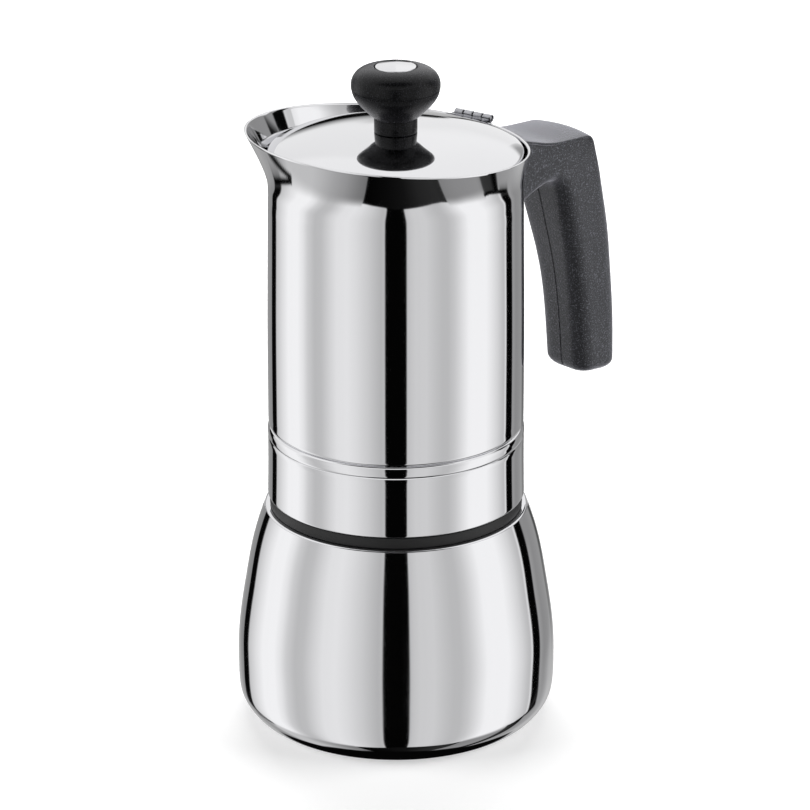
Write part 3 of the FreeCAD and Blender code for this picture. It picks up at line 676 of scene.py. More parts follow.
@dataclass
class Finishes:
    """Every finish of the pot, made once."""

    mirror: bpy.types.Material
    satin: bpy.types.Material
    bright: bpy.types.Material
    nylon: bpy.types.Material
    black: bpy.types.Material
    hinge: bpy.types.Material
    ring: bpy.types.Material
    brass: bpy.types.Material
    silicone: bpy.types.Material
    fibre: bpy.types.Material

    @classmethod
    def make(cls) -> "Finishes":
        """Build all the materials."""
        # A plain finish is a name, two colours, roughness, metallic, grain and depth in mm.
        return cls(
            mirror=PolishedSteel().build(),
            satin=TurnedSteel().build(),
            bright=PlainFinish("stainless_18_10_tumbled", "D2D2D4", "B4B5B8", 0.16, 1.0, 1.2, 0.004).build(),
            nylon=MouldedNylon().build(),
            # The knob's nylon: partly a smoother honed finish, partly a darker copy of the handle's nylon, a
            # painted shade for the knob's darker light.
            black=MouldedNylon("nylon_black_vapour_honed", "050506", "2C2D31", roughness=0.22, sheen=0.14,
                               gloss=0.16, grain_mm=0.34, depth_mm=0.045).build(),
            hinge=PlainFinish("stainless_18_10_pressed_strip", "C2C2C6", "88898E", 0.18, 1.0, 1.6,
                              0.006).build(),
            ring=PlainFinish("polyamide_black_matt", "0D0D0E", "060607", 0.5, 0.0, 0.6, 0.02).build(),
            brass=PlainFinish("brass_turned", "C9A24E", "A98438", 0.26, 1.0, 0.5, 0.006).build(),
            silicone=PlainFinish("silicone_food_grade_moulded", "DAD7CE", "C9C5BA", 0.55, 0.0, 1.5,
                                 0.02).build(),
            fibre=PlainFinish("vulcanised_fibre_punched", "8B5E45", "6D4634", 0.7, 0.0, 0.4, 0.03).build(),
        )


# ------------------------------------------------------------ geometry nodes


@dataclass(frozen=True)
class Input:
    """A named size on a node tree's interface."""

    name: str
    kind: str
    value: float | int


class NodeShape:
    """A Geometry Nodes tree that makes one repeated or swept form."""

    def __init__(self, name: str, inputs: Sequence[Input]) -> None:
        """Start the tree.

        Args:
            name: The tree's name.
            inputs: Its named sizes.
        """
        self.tree = bpy.data.node_groups.new(name, "GeometryNodeTree")
        self.tree.interface.new_socket("Geometry", in_out="OUTPUT", socket_type="NodeSocketGeometry")
        self.values = {}
        for item in inputs:
            socket = self.tree.interface.new_socket(item.name, in_out="INPUT", socket_type=item.kind)
            socket.default_value = item.value
            self.values[socket.identifier] = item.value
        self.inlet = add_node(self.tree, "NodeGroupInput")

    def add(self, kind: str, settings: dict[str, Any] | None = None,
            links: dict[str | int, bpy.types.NodeSocket] | None = None) -> bpy.types.Node:
        """Add a node to this tree."""
        return add_node(self.tree, kind, settings, links)

    def size(self, name: str) -> bpy.types.NodeSocket:
        """The socket of a named size."""
        return self.inlet.outputs[name]

    def close(self, geometry: bpy.types.NodeSocket, material: bpy.types.Material) -> None:
        """End the tree with real geometry in its finish.

        Args:
            geometry: The finished form's socket.
            material: Its finish.
        """
        real = self.add("GeometryNodeRealizeInstances", links={"Geometry": geometry})
        dressed = self.add("GeometryNodeSetMaterial", {"Material": material},
                           {"Geometry": real.outputs["Geometry"]})
        add_node(self.tree, "NodeGroupOutput", links={"Geometry": dressed.outputs["Geometry"]})

    def mesh(self) -> bpy.types.Mesh:
        """Evaluate the tree with its sizes.

        Returns:
            The form as a plain mesh.
        """
        carrier = put(self.tree.name, bpy.data.meshes.new(self.tree.name))
        modifier = carrier.modifiers.new("shape", "NODES")
        modifier.node_group = self.tree
        for identifier, value in self.values.items():
            modifier[identifier] = value
        bpy.context.view_layer.update()
        graph = bpy.context.evaluated_depsgraph_get()
        result = bpy.data.meshes.new_from_object(carrier.evaluated_get(graph)).copy()
        carrier.modifiers.remove(modifier)
        bpy.data.objects.remove(carrier)
        return result


def helical_rib(name: str, radius: float, pitch: float, turns: float, height: float, rib: float,
                material: bpy.types.Material) -> bpy.types.Mesh:
    """Sweep a rounded rib along a helix, as a rolled thread.

    Args:
        name: The tree's name.
        radius: Radius of the rib's centre line, mm.
        pitch: Rise per turn, mm.
        turns: Number of turns.
        height: Height of the start, mm.
        rib: Radius of the rib's own section, mm.
        material: Its finish.

    Returns:
        The rib's mesh.
    """
    shape = NodeShape(name, [
        Input("Radius", "NodeSocketFloat", radius * MM),
        Input("Rise", "NodeSocketFloat", pitch * turns * MM),
        Input("Turns", "NodeSocketFloat", turns),
        Input("Start", "NodeSocketFloat", height * MM),
        Input("Rib", "NodeSocketFloat", rib * MM),
    ])
    helix = shape.add("GeometryNodeCurveSpiral", {"Resolution": 160},
                      {"Rotations": shape.size("Turns"), "Start Radius": shape.size("Radius"),
                       "End Radius": shape.size("Radius"), "Height": shape.size("Rise")})
    lift = shape.add("ShaderNodeCombineXYZ", links={"Z": shape.size("Start")})
    raised = shape.add("GeometryNodeTransform", links={"Geometry": helix.outputs["Curve"],
                                                       "Translation": lift.outputs["Vector"]})
    section = shape.add("GeometryNodeCurvePrimitiveCircle", {"Resolution": 12},
                        {"Radius": shape.size("Rib")})
    swept = shape.add("GeometryNodeCurveToMesh", {"Fill Caps": True},
                      {"Curve": raised.outputs["Geometry"], "Profile Curve": section.outputs["Curve"]})
    shape.close(swept.outputs["Mesh"], material)
    return shape.mesh()


def knuckle_row(name: str, part: bpy.types.Mesh, count: int, pitch: float, start: float,
                material: bpy.types.Material) -> bpy.types.Mesh:
    """Repeat a hinge knuckle along Y.

    Args:
        name: The tree's name.
        part: One knuckle, centred on the origin.
        count: How many there are.
        pitch: Distance between two, mm.
        start: Y of the first, mm.
        material: Its finish.

    Returns:
        The row's mesh.
    """
    carrier = put(f"{name}_part", part)
    shape = NodeShape(name, [
        Input("Count", "NodeSocketInt", count),
        Input("Pitch", "NodeSocketFloat", pitch * MM),
        Input("Start", "NodeSocketFloat", start * MM),
    ])
    step = shape.add("ShaderNodeCombineXYZ", links={"Y": shape.size("Pitch")})
    first = shape.add("ShaderNodeCombineXYZ", links={"Y": shape.size("Start")})
    row = shape.add("GeometryNodeMeshLine", {"mode": "OFFSET"},
                    {"Count": shape.size("Count"), "Start Location": first.outputs["Vector"],
                     "Offset": step.outputs["Vector"]})
    source = shape.add("GeometryNodeObjectInfo", {"Object": carrier})
    spread = shape.add("GeometryNodeInstanceOnPoints",
                       links={"Points": row.outputs["Mesh"], "Instance": source.outputs["Geometry"]})
    shape.close(spread.outputs["Instances"], material)
    result = shape.mesh()
    bpy.data.objects.remove(carrier)
    return result


# --------------------------------------------------------------------- pieces


@dataclass
class Boiler:
    """The water boiler with its neck, base disc, black ring and safety valve."""

    finishes: Finishes
    foot_radius: float = 43.4
    base_thickness: float = 2.6
    wall: float = 1.0
    shoulder: Point = (41.3, 68.9)
    neck_radius: float = 34.8
    neck_bore: float = 33.4
    neck_top: float = 84.0
    ring_radius: float = 39.6
    ring_top: float = 73.0
    belly: Section = (
        (43.4, 0.0), (45.5, 1.1), (47.4, 3.0), (49.35, 6.3), (50.05, 10.5), (50.198, 17.0), (49.95, 26.0),
        (48.95, 35.0), (47.5, 44.0), (45.7, 54.0), (43.65, 62.0), (41.3, 68.9),
    )
    valve_height: float = 48.0
    valve_seat: float = 47.8

    def shell(self) -> None:
        """Turn the pressed shell, add the thread and the valve's flat seat."""
        foot = self.foot_radius - 1.1
        outside = spline(self.belly, 10)
        inside = [(r - self.wall, z) for r, z in reversed(spline(self.belly[3:], 8))]
        rest = rounded([
            self.shoulder, (self.shoulder[0] - 0.6, self.shoulder[1] + 0.4),
            (self.neck_radius, self.shoulder[1] + 0.4), (self.neck_radius, self.neck_top),
            (self.neck_bore, self.neck_top), (self.neck_bore, self.shoulder[1] - 0.6),
            (self.shoulder[0] - 1.2, self.shoulder[1] - 0.6),
        ], 0.5)[1:-1]
        profile = [
            (0, self.base_thickness), (foot, self.base_thickness), (foot, 0.25), (foot + 0.25, 0.0),
            *outside, *rest, *inside, (self.foot_radius + 1.4, self.base_thickness + self.wall),
            (0, self.base_thickness + self.wall),
        ]
        body = lathe("boiler_shell_turned", profile, 256)
        install("boiler_steel", join("boiler_shell", [body, self.boss()]), self.finishes.mirror,
                Body.BOILER, "polished_steel", "boiler_shell")
        thread = helical_rib("neck_thread", radius=self.neck_radius - 0.05, pitch=3.0, turns=2.2,
                             height=75.9, rib=0.75, material=self.finishes.satin)
        install("boiler_neck_thread", thread, self.finishes.mirror, Body.BOILER, "polished_steel")

    def boss(self) -> bpy.types.Mesh:
        """Turn the valve's flat seat, a short disc that stands out of the wall.

        Returns:
            The disc, on its side in its place.
        """
        radius, depth = 7.6, -3.2
        profile = [(0, depth), (radius, depth), *fillet((radius, depth), (radius, 0), (0, 0), 0.8), (0, 0)]
        return placed(lathe("valve_seat_boss", profile, 64), sideways(self.valve_seat, self.valve_height))

    def base(self) -> None:
        """Turn the base disc, with a shallow step and a softened edge."""
        radius = self.foot_radius - 1.2
        profile = rounded([
            (0, 0.35), (11.0, 0.35), (11.4, 0.0), (radius, 0.0), (radius, self.base_thickness),
            (0, self.base_thickness),
        ], 0.4)
        install("base_steel_disc", lathe("base_disc", profile, 160), self.finishes.satin, Body.BOILER,
                "base_steel", "base_disc")

    def ring(self) -> None:
        """Turn the black ring between the shoulder and the collar."""
        low = self.shoulder[1] + 0.4
        inner = self.neck_radius + 0.1
        profile = rounded([
            (inner, low), (self.ring_radius, low), (self.ring_radius, self.ring_top), (inner, self.ring_top),
        ], 0.7, 4)
        install("black_joint_ring", lathe("joint_ring", profile, 192), self.finishes.ring, Body.BOILER,
                "black_plastic", "joint_ring")

    def build(self) -> None:
        """Make and dress every piece of the boiler."""
        self.shell()
        self.base()
        self.ring()
        redress(self.finishes.brass, "valve_body", "valve_nut")
        redress(self.finishes.fibre, "valve_washer")
        redress(self.finishes.bright, "valve_poppet", "valve_spring")


@dataclass
class Funnel:
    """The coffee funnel with its plate, and the gasket and filter plate over it."""

    finishes: Finishes

    def build(self) -> None:
        """Dress the pieces that keep their own shape."""
        redress(self.finishes.satin, "funnel", "funnel_plate", "filter_plate")
        redress(self.finishes.silicone, "gasket")


@dataclass
class Jug:
    """The jug: collar, wall with its trumpet mouth, floor and column."""

    finishes: Finishes
    collar_foot: float = 73.3
    collar_radius: float = 40.2
    collar_top: float = 96.3
    wall: float = 0.8
    waist: float = 39.05
    flare_foot: float = 174.7
    rim_radius: float = 43.65
    rim_height: float = 188.3
    rim_shift: float = 2.96
    rim_rise: float = 3.9
    flare_power: float = 1.34
    flare_softness: float = 0.10
    lean_softness: float = 0.06
    lean_full: float = 1.0009
    lip_angle: float = 165.0
    floor: float = 90.2
    around: int = 320

    def collar(self) -> None:
        """Turn the collar: a slim taper, a fine crease and a rounded bead."""
        bore = self.waist - 0.25
        foot, top, radius = self.collar_foot, self.collar_top, self.collar_radius
        bead = spline([(39.72, top - 3.75), (39.95, top - 3.2), (40.02, top - 2.2), (39.98, top - 1.2),
                       (39.55, top - 0.25), (39.2, top)], 6)
        profile = [
            *fillet((bore, foot), (radius, foot), (radius, foot + 5), 0.45),
            *spline([(radius, foot + 0.7), (radius - 0.05, foot + 3), (radius - 0.2, foot + 12),
                     (radius - 0.25, top - 4.2)], 6),
            (radius - 0.32, top - 3.98),
            *bead,
            (bore, top), (bore, foot + 0.6), (bore + 0.6, foot),
        ]
        install("jug_collar", lathe("collar", profile, 256), self.finishes.mirror, Body.JUG,
                "polished_steel", "collar", smooth_angle=32)

    def ring(self, step: float, inset: float) -> np.ndarray:
        """One level ring of the wall, or one tilted ring of the mouth.

        Args:
            step: 0 at the foot of the flare, 1 at the rim, below 0 on the wall.
            inset: How far inside the outer face the ring lies, mm.

        Returns:
            The ring's points in mm.
        """
        rise = self.rim_height - self.flare_foot
        angle = np.linspace(0, 2 * math.pi, self.around, endpoint=False) - math.radians(self.lip_angle)
        grown = self.growth(step)
        radius = self.waist + (self.rim_radius - self.waist) * grown - inset
        tilt = math.atan(self.rim_rise / self.rim_radius) * self.lean(step)
        along = radius * np.cos(angle) * math.cos(tilt) + self.rim_shift * grown
        up = self.flare_foot + rise * step + radius * np.cos(angle) * math.sin(tilt)
        across = radius * np.sin(angle)
        turn = math.radians(self.lip_angle)
        return np.stack([along * math.cos(turn) - across * math.sin(turn),
                         along * math.sin(turn) + across * math.cos(turn), up], axis=-1)

    def growth(self, step: float) -> float:
        """How far the flare has opened at a step: fully at the rim."""
        opened = soft_start(step, self.flare_softness) / soft_start(1.0, self.flare_softness)
        return opened ** self.flare_power

    def lean(self, step: float) -> float:
        """How far the ring has tilted at a step: fully at the rim."""
        return soft_start(step, self.lean_softness) / self.lean_full

    def shell(self) -> None:
        """Skin the jug's wall and mouth, inside and out, around a rounded rim."""
        seat = self.waist - 0.3
        top = self.collar_top
        levels = [
            (seat, self.floor + 0.1), (seat, top), (seat + 0.08, top + 0.06),
            *spline([(39.38, top + 0.2), (39.68, top + 0.7), (39.78, top + 1.6), (39.8, top + 4.0)], 5),
            *spline([(39.79, 103.0), (39.7, 126.0), (39.36, 152.0), (39.14, 168.0)], 10),
        ]
        angle = np.linspace(0, 2 * math.pi, self.around, endpoint=False)

        def level(radius: float, height: float) -> np.ndarray:
            """A plain level ring."""
            return np.stack([radius * np.cos(angle), radius * np.sin(angle),
                             np.full_like(angle, height)], axis=-1)

        outer = [level(r, z) for r, z in levels]
        steps = np.concatenate([np.linspace(-0.35, 0.2, 14), np.linspace(0.23, 0.985, 24)])
        outer += [self.ring(float(s), 0.0) for s in steps]
        edge = [self.ring(0.985 + 0.012 * math.sin(turn), self.wall * (1 - math.cos(turn)) / 2)
                for turn in (math.pi * k / 6 for k in range(1, 6))]
        inner = [self.ring(float(s), self.wall) for s in reversed(steps)]
        inner += [level(r - self.wall, z) for r, z in reversed(levels)]
        mesh = grid_mesh("jug_shell", np.array(outer + edge + inner))
        install("jug_wall_and_mouth", mesh, self.finishes.mirror, Body.JUG, "polished_steel", "jug_shell")

    def build(self) -> None:
        """Make and dress every piece of the jug."""
        self.collar()
        self.shell()
        redress(self.finishes.satin, "jug_floor", "column", "column_cap")
        redress(self.finishes.bright, "handle_bracket", "handle_screw")


@dataclass(frozen=True)
class Rung:
    """One cross-section of the handle.

    Ends are (reach from the pot's axis, depth below the handle's top), in mm; share is the
    part of the full width, and the last three are the corners' radii and the outer side's bow.
    """

    inner: Point
    outer: Point
    share: float
    soft_in: float
    soft_out: float
    bow: float


@dataclass
class Handle:
    """The moulded handle: a flat-topped root and a grip that bends down and tapers."""

    finishes: Finishes
    top: float = 178.0
    half_width: float = 12.4
    jug_waist: float = 39.05
    hinge_angle: float = 12.0
    # Depth of the lip under the top's edge and of the mould's seam, by the place along the handle.
    lip: Table = ((0.34, 0.65), (0.46, 0.0))
    seam: Table = ((0.2, 0.0), (0.3, 0.22))
    rungs: tuple[Rung, ...] = (
        Rung((37.0, 20.8), (36.0, -5.0), 0.992, 3.0, 0.7, 0.3),
        Rung((45.0, 17.0), (46.0, -2.4), 0.996, 3.2, 0.7, 0.3),
        Rung((51.5, 14.5), (55.5, 0.0), 1.0, 3.6, 0.6, 0.3),
        Rung((57.3, 14.1), (66.0, 0.3), 1.0, 4.2, 0.6, 0.8),
        Rung((59.0, 15.2), (70.6, 0.35), 0.998, 4.4, 0.6, 1.0),
        Rung((60.0, 16.3), (73.3, 0.75), 0.994, 4.6, 0.6, 1.2),
        Rung((60.5, 17.1), (74.6, 1.75), 0.99, 4.7, 0.7, 1.4),
        Rung((61.1, 18.4), (75.8, 4.0), 0.983, 4.8, 0.9, 1.6),
        Rung((62.2, 21.5), (78.2, 9.4), 0.966, 5.0, 1.6, 1.9),
        Rung((64.4, 29.5), (81.9, 18.8), 0.922, 5.2, 3.4, 2.2),
        Rung((67.6, 41.0), (86.1, 33.0), 0.852, 5.2, 4.8, 2.0),
        Rung((70.3, 54.0), (88.9, 50.0), 0.79, 5.2, 5.2, 1.6),
        Rung((72.0, 67.0), (90.5, 66.0), 0.774, 5.2, 5.2, 1.5),
        Rung((73.1, 79.0), (91.0, 80.4), 0.766, 5.2, 5.2, 1.5),
    )
    foot_depth: float = 4.9
    foot_power: float = 2.5
    # How far up the side each point lies, and how much of the lip's depth it has.
    side_steps: Table = ((0.2, 0.0), (0.45, 0.05), (0.7, 0.25), (0.85, 0.65), (0.93, 1.0), (0.975, 1.0))

    def section(self, row: Sequence[float], place: float) -> np.ndarray:
        """One closed ring of the handle.

        Args:
            row: The ends, half width, corner radii and bow, in mm.
            place: How far along the handle the ring lies, 0 to 1.

        Returns:
            The ring's points in mm.
        """
        inner, outer = np.array(row[0:2]), np.array(row[2:4])
        half, soft_in, soft_out, bow = row[4:8]
        long = float(np.linalg.norm(outer - inner))
        seam, lip = read(self.seam, place), read(self.lip, place)
        flat = [(y, 0.0) for y in np.linspace(-(half - soft_in), -0.3, 5)]
        flat += [(-0.12, seam), (0.12, seam)]
        flat += [(y, 0.0) for y in np.linspace(0.3, half - soft_in, 5)]
        turn = np.linspace(0, math.pi / 2, 9)[1:]
        low = [(half - soft_in * (1 - math.sin(t)), soft_in * (1 - math.cos(t))) for t in turn]
        crest = half - soft_out
        height = long - bow * (crest / half) ** 2
        slope = -2 * bow * crest / half ** 2
        knee = height + slope * soft_out
        wall_top = knee - soft_out
        side = [(half - lip * deep, soft_in + (wall_top - soft_in) * t) for t, deep in self.side_steps]
        side.append((half, wall_top + 0.02))
        bend = np.linspace(0, math.pi / 2, 8)
        high = [(half - soft_out * (1 - math.cos(t)), knee - soft_out * (1 - math.sin(t))
                 - slope * soft_out * (1 - math.cos(t))) for t in bend[1:]]
        crown = [(y, long - bow * (y / half) ** 2) for y in np.linspace(crest, 0, 6)[1:]]
        right = low + side + high + crown
        ring = flat + right + [(-y, z) for y, z in reversed(right[:-1])]
        along = (outer - inner) / long
        return np.array([(inner[0] + along[0] * z, y, self.top - inner[1] - along[1] * z)
                         for y, z in ring])

    def moulding(self) -> bpy.types.Mesh:
        """Skin the handle from the jug's wall to its rounded foot.

        Returns:
            The whole moulding, before anything is cut out of it.
        """
        rows = [(*rung.inner, *rung.outer, self.half_width * rung.share, rung.soft_in, rung.soft_out,
                 rung.bow) for rung in self.rungs]
        path = spline(rows, 8)
        rings = [self.section(row, index / (len(path) - 1)) for index, row in enumerate(path)]
        last = rings[-1]
        middle = last.mean(axis=0)
        onward = np.array([0.05, 0.0, -1.0])
        for share in (0.12, 0.25, 0.38, 0.52, 0.66, 0.78, 0.88, 0.95, 0.985, 0.997):
            shrink = (1 - share ** self.foot_power) ** (1 / self.foot_power)
            rings.append(middle + (last - middle) * shrink + onward * self.foot_depth * share)
        return grid_mesh("handle", np.array(rings), closed_rings=False)

    def hollows(self) -> list[bpy.types.Mesh]:
        """Make what the jug's wall, the hinge, the bracket and the screw take out of the handle.

        Returns:
            Closed shapes to cut with.
        """
        waist, top = self.jug_waist, self.top
        wall = lathe("jug_clearance", [
            (0, 150), (waist + 0.65, 150), (waist + 0.45, 174.0), (40.3, top + 1.7), (40.9, top + 4.2),
            (41.6, top + 7.5), (0, top + 7.5)], 192)
        notch = placed(strip("hinge_notch", [
            (30.0, top - 1.8), (41.4, top - 1.8), (42.0, top + 2.6), (44.2, top + 2.6), (44.2, top + 12),
            (30.0, top + 12)], -7.5, 7.5), Matrix.Rotation(math.radians(self.hinge_angle), 4, "Z"))
        slot = strip("bracket_slot", [
            (30.0, 158.0), (41.9, 158.0), (41.9, 169.7), (56.3, 169.7), (56.3, 172.5), (30.0, 172.5)],
            -6.5, 6.5)
        sink = placed(lathe("screw_sink", [
            (0, 150), (3.8, 150), (3.8, 166.8), (2.15, 166.8), (2.15, 175.2), (0, 175.2)], 48),
            Matrix.Translation((0.05, 0, 0)))
        return [wall, notch, slot, sink]

    def build(self) -> None:
        """Make and dress the handle."""
        mesh = carve(self.moulding(), self.hollows())
        tidy(mesh)
        install("handle_moulding", mesh, self.finishes.nylon, Body.JUG, "grey_plastic", "handle",
                smooth_angle=42)


@dataclass
class Hinge:
    """The lid's hinge: two leaves with two rolled knuckles each, and the pin."""

    finishes: Finishes
    reach: float = 42.45
    height: float = 185.1
    angle: float = 12.0
    knuckle: float = 1.1
    pin: float = 0.6
    width: float = 14.0
    pitch: float = 7.05
    knuckle_half: float = 1.5
    tab_half: float = 1.6
    jug_plate: Section = ((-1.55, -1.5), (-0.85, -1.6), (-2.15, -7.9), (-2.85, -7.7))
    jug_tab: Section = ((-0.95, -0.45), (-0.2, -1.05), (-0.85, -1.8), (-1.55, -1.6))
    lid_plate: Section = ((-1.75, -0.28), (-3.1, -0.28), (-4.0, -0.05), (-5.6, 0.62), (-5.75, 1.05),
                          (-4.0, 0.4), (-3.1, 0.2), (-1.75, 0.2))
    lid_tab: Section = ((-0.8, -0.3), (-2.0, -0.28), (-2.1, 0.2), (-0.85, 0.2))

    def place(self) -> Matrix:
        """The matrix that carries a piece from the origin to the hinge."""
        turn = Matrix.Rotation(math.radians(self.angle), 4, "Z")
        return turn @ Matrix.Translation((self.reach * MM, 0, self.height * MM))

    def rolled(self, name: str) -> bpy.types.Mesh:
        """Roll one knuckle about the Y axis, with softened ends.

        Args:
            name: The mesh's name.

        Returns:
            The knuckle, centred on the origin.
        """
        bore, half = self.pin + 0.16, self.knuckle_half
        profile = rounded([(bore, -half), (self.knuckle, -half), (self.knuckle, half), (bore, half)], 0.14)
        return placed(lathe(name, profile, 40), LAID)

    def leaf(self, name: str, start: float, plate: Sequence[Point], tab: Sequence[Point]) -> bpy.types.Mesh:
        """Join a leaf's knuckles, tabs and plate, in place.

        Args:
            name: The mesh's name.
            start: Y of the first knuckle's middle, mm.
            plate: The plate's section.
            tab: The section of the tab from each knuckle to the plate.

        Returns:
            The leaf's mesh.
        """
        knuckles = 2
        row = knuckle_row(f"{name}_knuckles", self.rolled(f"{name}_knuckle"), knuckles, self.pitch, start,
                          self.finishes.hinge)
        half = self.width / 2 - 0.2
        parts = [row, strip(f"{name}_plate", plate, -half, half)]
        for k in range(knuckles):
            middle = start + k * self.pitch
            parts.append(strip(f"{name}_tab_{k}", tab, middle - self.tab_half, middle + self.tab_half))
        leaf = join(name, parts)
        leaf.transform(self.place())
        return leaf

    def build(self) -> None:
        """Make and dress both leaves and the pin."""
        for body, start, plate, tab in ((Body.JUG, -5.3, self.jug_plate, self.jug_tab),
                                        (Body.LID, -1.75, self.lid_plate, self.lid_tab)):
            node = f"{body.value}_leaf"
            install(f"hinge_leaf_on_{body.value}", self.leaf(node, start, plate, tab),
                    self.finishes.hinge, body, "plain_steel", node)
        half = self.width / 2 - 0.5
        profile = rounded([(0, -half), (self.pin, -half), (self.pin, half), (0, half)], 0.25, 4)
        rod = placed(lathe("hinge_pin", profile, 32), self.place() @ LAID)
        install("hinge_steel_pin", rod, self.finishes.bright, Body.JUG, "plain_steel", "hinge_pin")


@dataclass
class Lid:
    """The lid with its knob."""

    finishes: Finishes
    radius: float = 39.1
    crown: float = 190.3
    wall: float = 0.7
    knob_top: float = 211.0
    knob_neck: float = 6.6

    def cover(self) -> None:
        """Turn the shallow lid with its turned-down edge."""
        edge, crown = self.radius, self.crown
        top = spline([(2.15, crown), (8.0, crown - 0.1), (15.0, crown - 0.5), (25.0, crown - 1.4),
                      (33.0, crown - 3.1), (edge - 0.9, crown - 5.3), (edge - 0.15, crown - 6.0),
                      (edge, crown - 6.7), (edge, crown - 7.6)], 9)
        under = spline([(edge - self.wall, crown - 7.6), (edge - self.wall, crown - 6.8),
                        (edge - 1.3, crown - 6.1), (32.8, crown - 3.8), (24.9, crown - 2.1),
                        (15.0, crown - 1.2), (8.0, crown - 0.8), (2.15, crown - self.wall)], 8)
        install("lid_cover", lathe("lid", [*top, *under], 256), self.finishes.mirror, Body.LID,
                "lid_steel", "lid")

    def knob(self) -> None:
        """Turn the moulded knob and its steel cap."""
        foot, top, neck = self.crown + 0.1, self.knob_top, self.knob_neck
        swell = spline([(neck - 0.15, 194.75), (7.6, 195.6), (9.0, 196.9), (10.6, 198.5), (12.2, 200.5),
                        (13.2, 202.5), (13.48, 203.7)], 6)
        dome = spline([(13.58, 203.98), (13.62, 205.0), (13.5, 206.2), (12.9, 207.7), (11.8, 209.0),
                       (10.0, 210.0), (8.2, 210.5), (7.0, 210.7)], 6)
        profile = [
            (2.1, foot), *fillet((2.1, foot), (neck, foot), (neck, foot + 2), 0.25), (neck, foot + 2.2),
            *fillet((neck, foot + 2), (neck, 194.6), (neck - 1, 194.6), 0.12), (neck - 0.15, 194.62), *swell,
            (13.3, 203.78), (13.3, 203.92), *dome,
            *fillet((7.0, 210.7), (6.6, 210.7), (6.6, 209.4), 0.25), (6.6, 209.4), (2.1, 209.4),
        ]
        install("knob_moulding", lathe("knob", profile, 160), self.finishes.black, Body.LID,
                "grey_plastic", "knob", smooth_angle=50)
        cap = [(0, top - 1.6), (6.3, top - 1.6), (6.3, top - 0.55),
               *fillet((6.3, top - 0.8), (6.3, top - 0.2), (5, top - 0.15), 0.3), (3.5, top - 0.06), (0, top)]
        install("knob_steel_cap", lathe("knob_cap", cap, 96), self.finishes.mirror, Body.LID,
                "plain_steel", "knob_cap")

    def build(self) -> None:
        """Make and dress every piece of the lid."""
        self.cover()
        self.knob()
        redress(self.finishes.bright, "knob_screw", "knob_washer")


# --------------------------------------------------------------------- studio


@dataclass(frozen=True)
class Lamp:
    """A square soft lamp aimed at the pot; size in metres, power in watts."""

    name: str
    place: tuple[float, float, float]
    size: float
    power: float


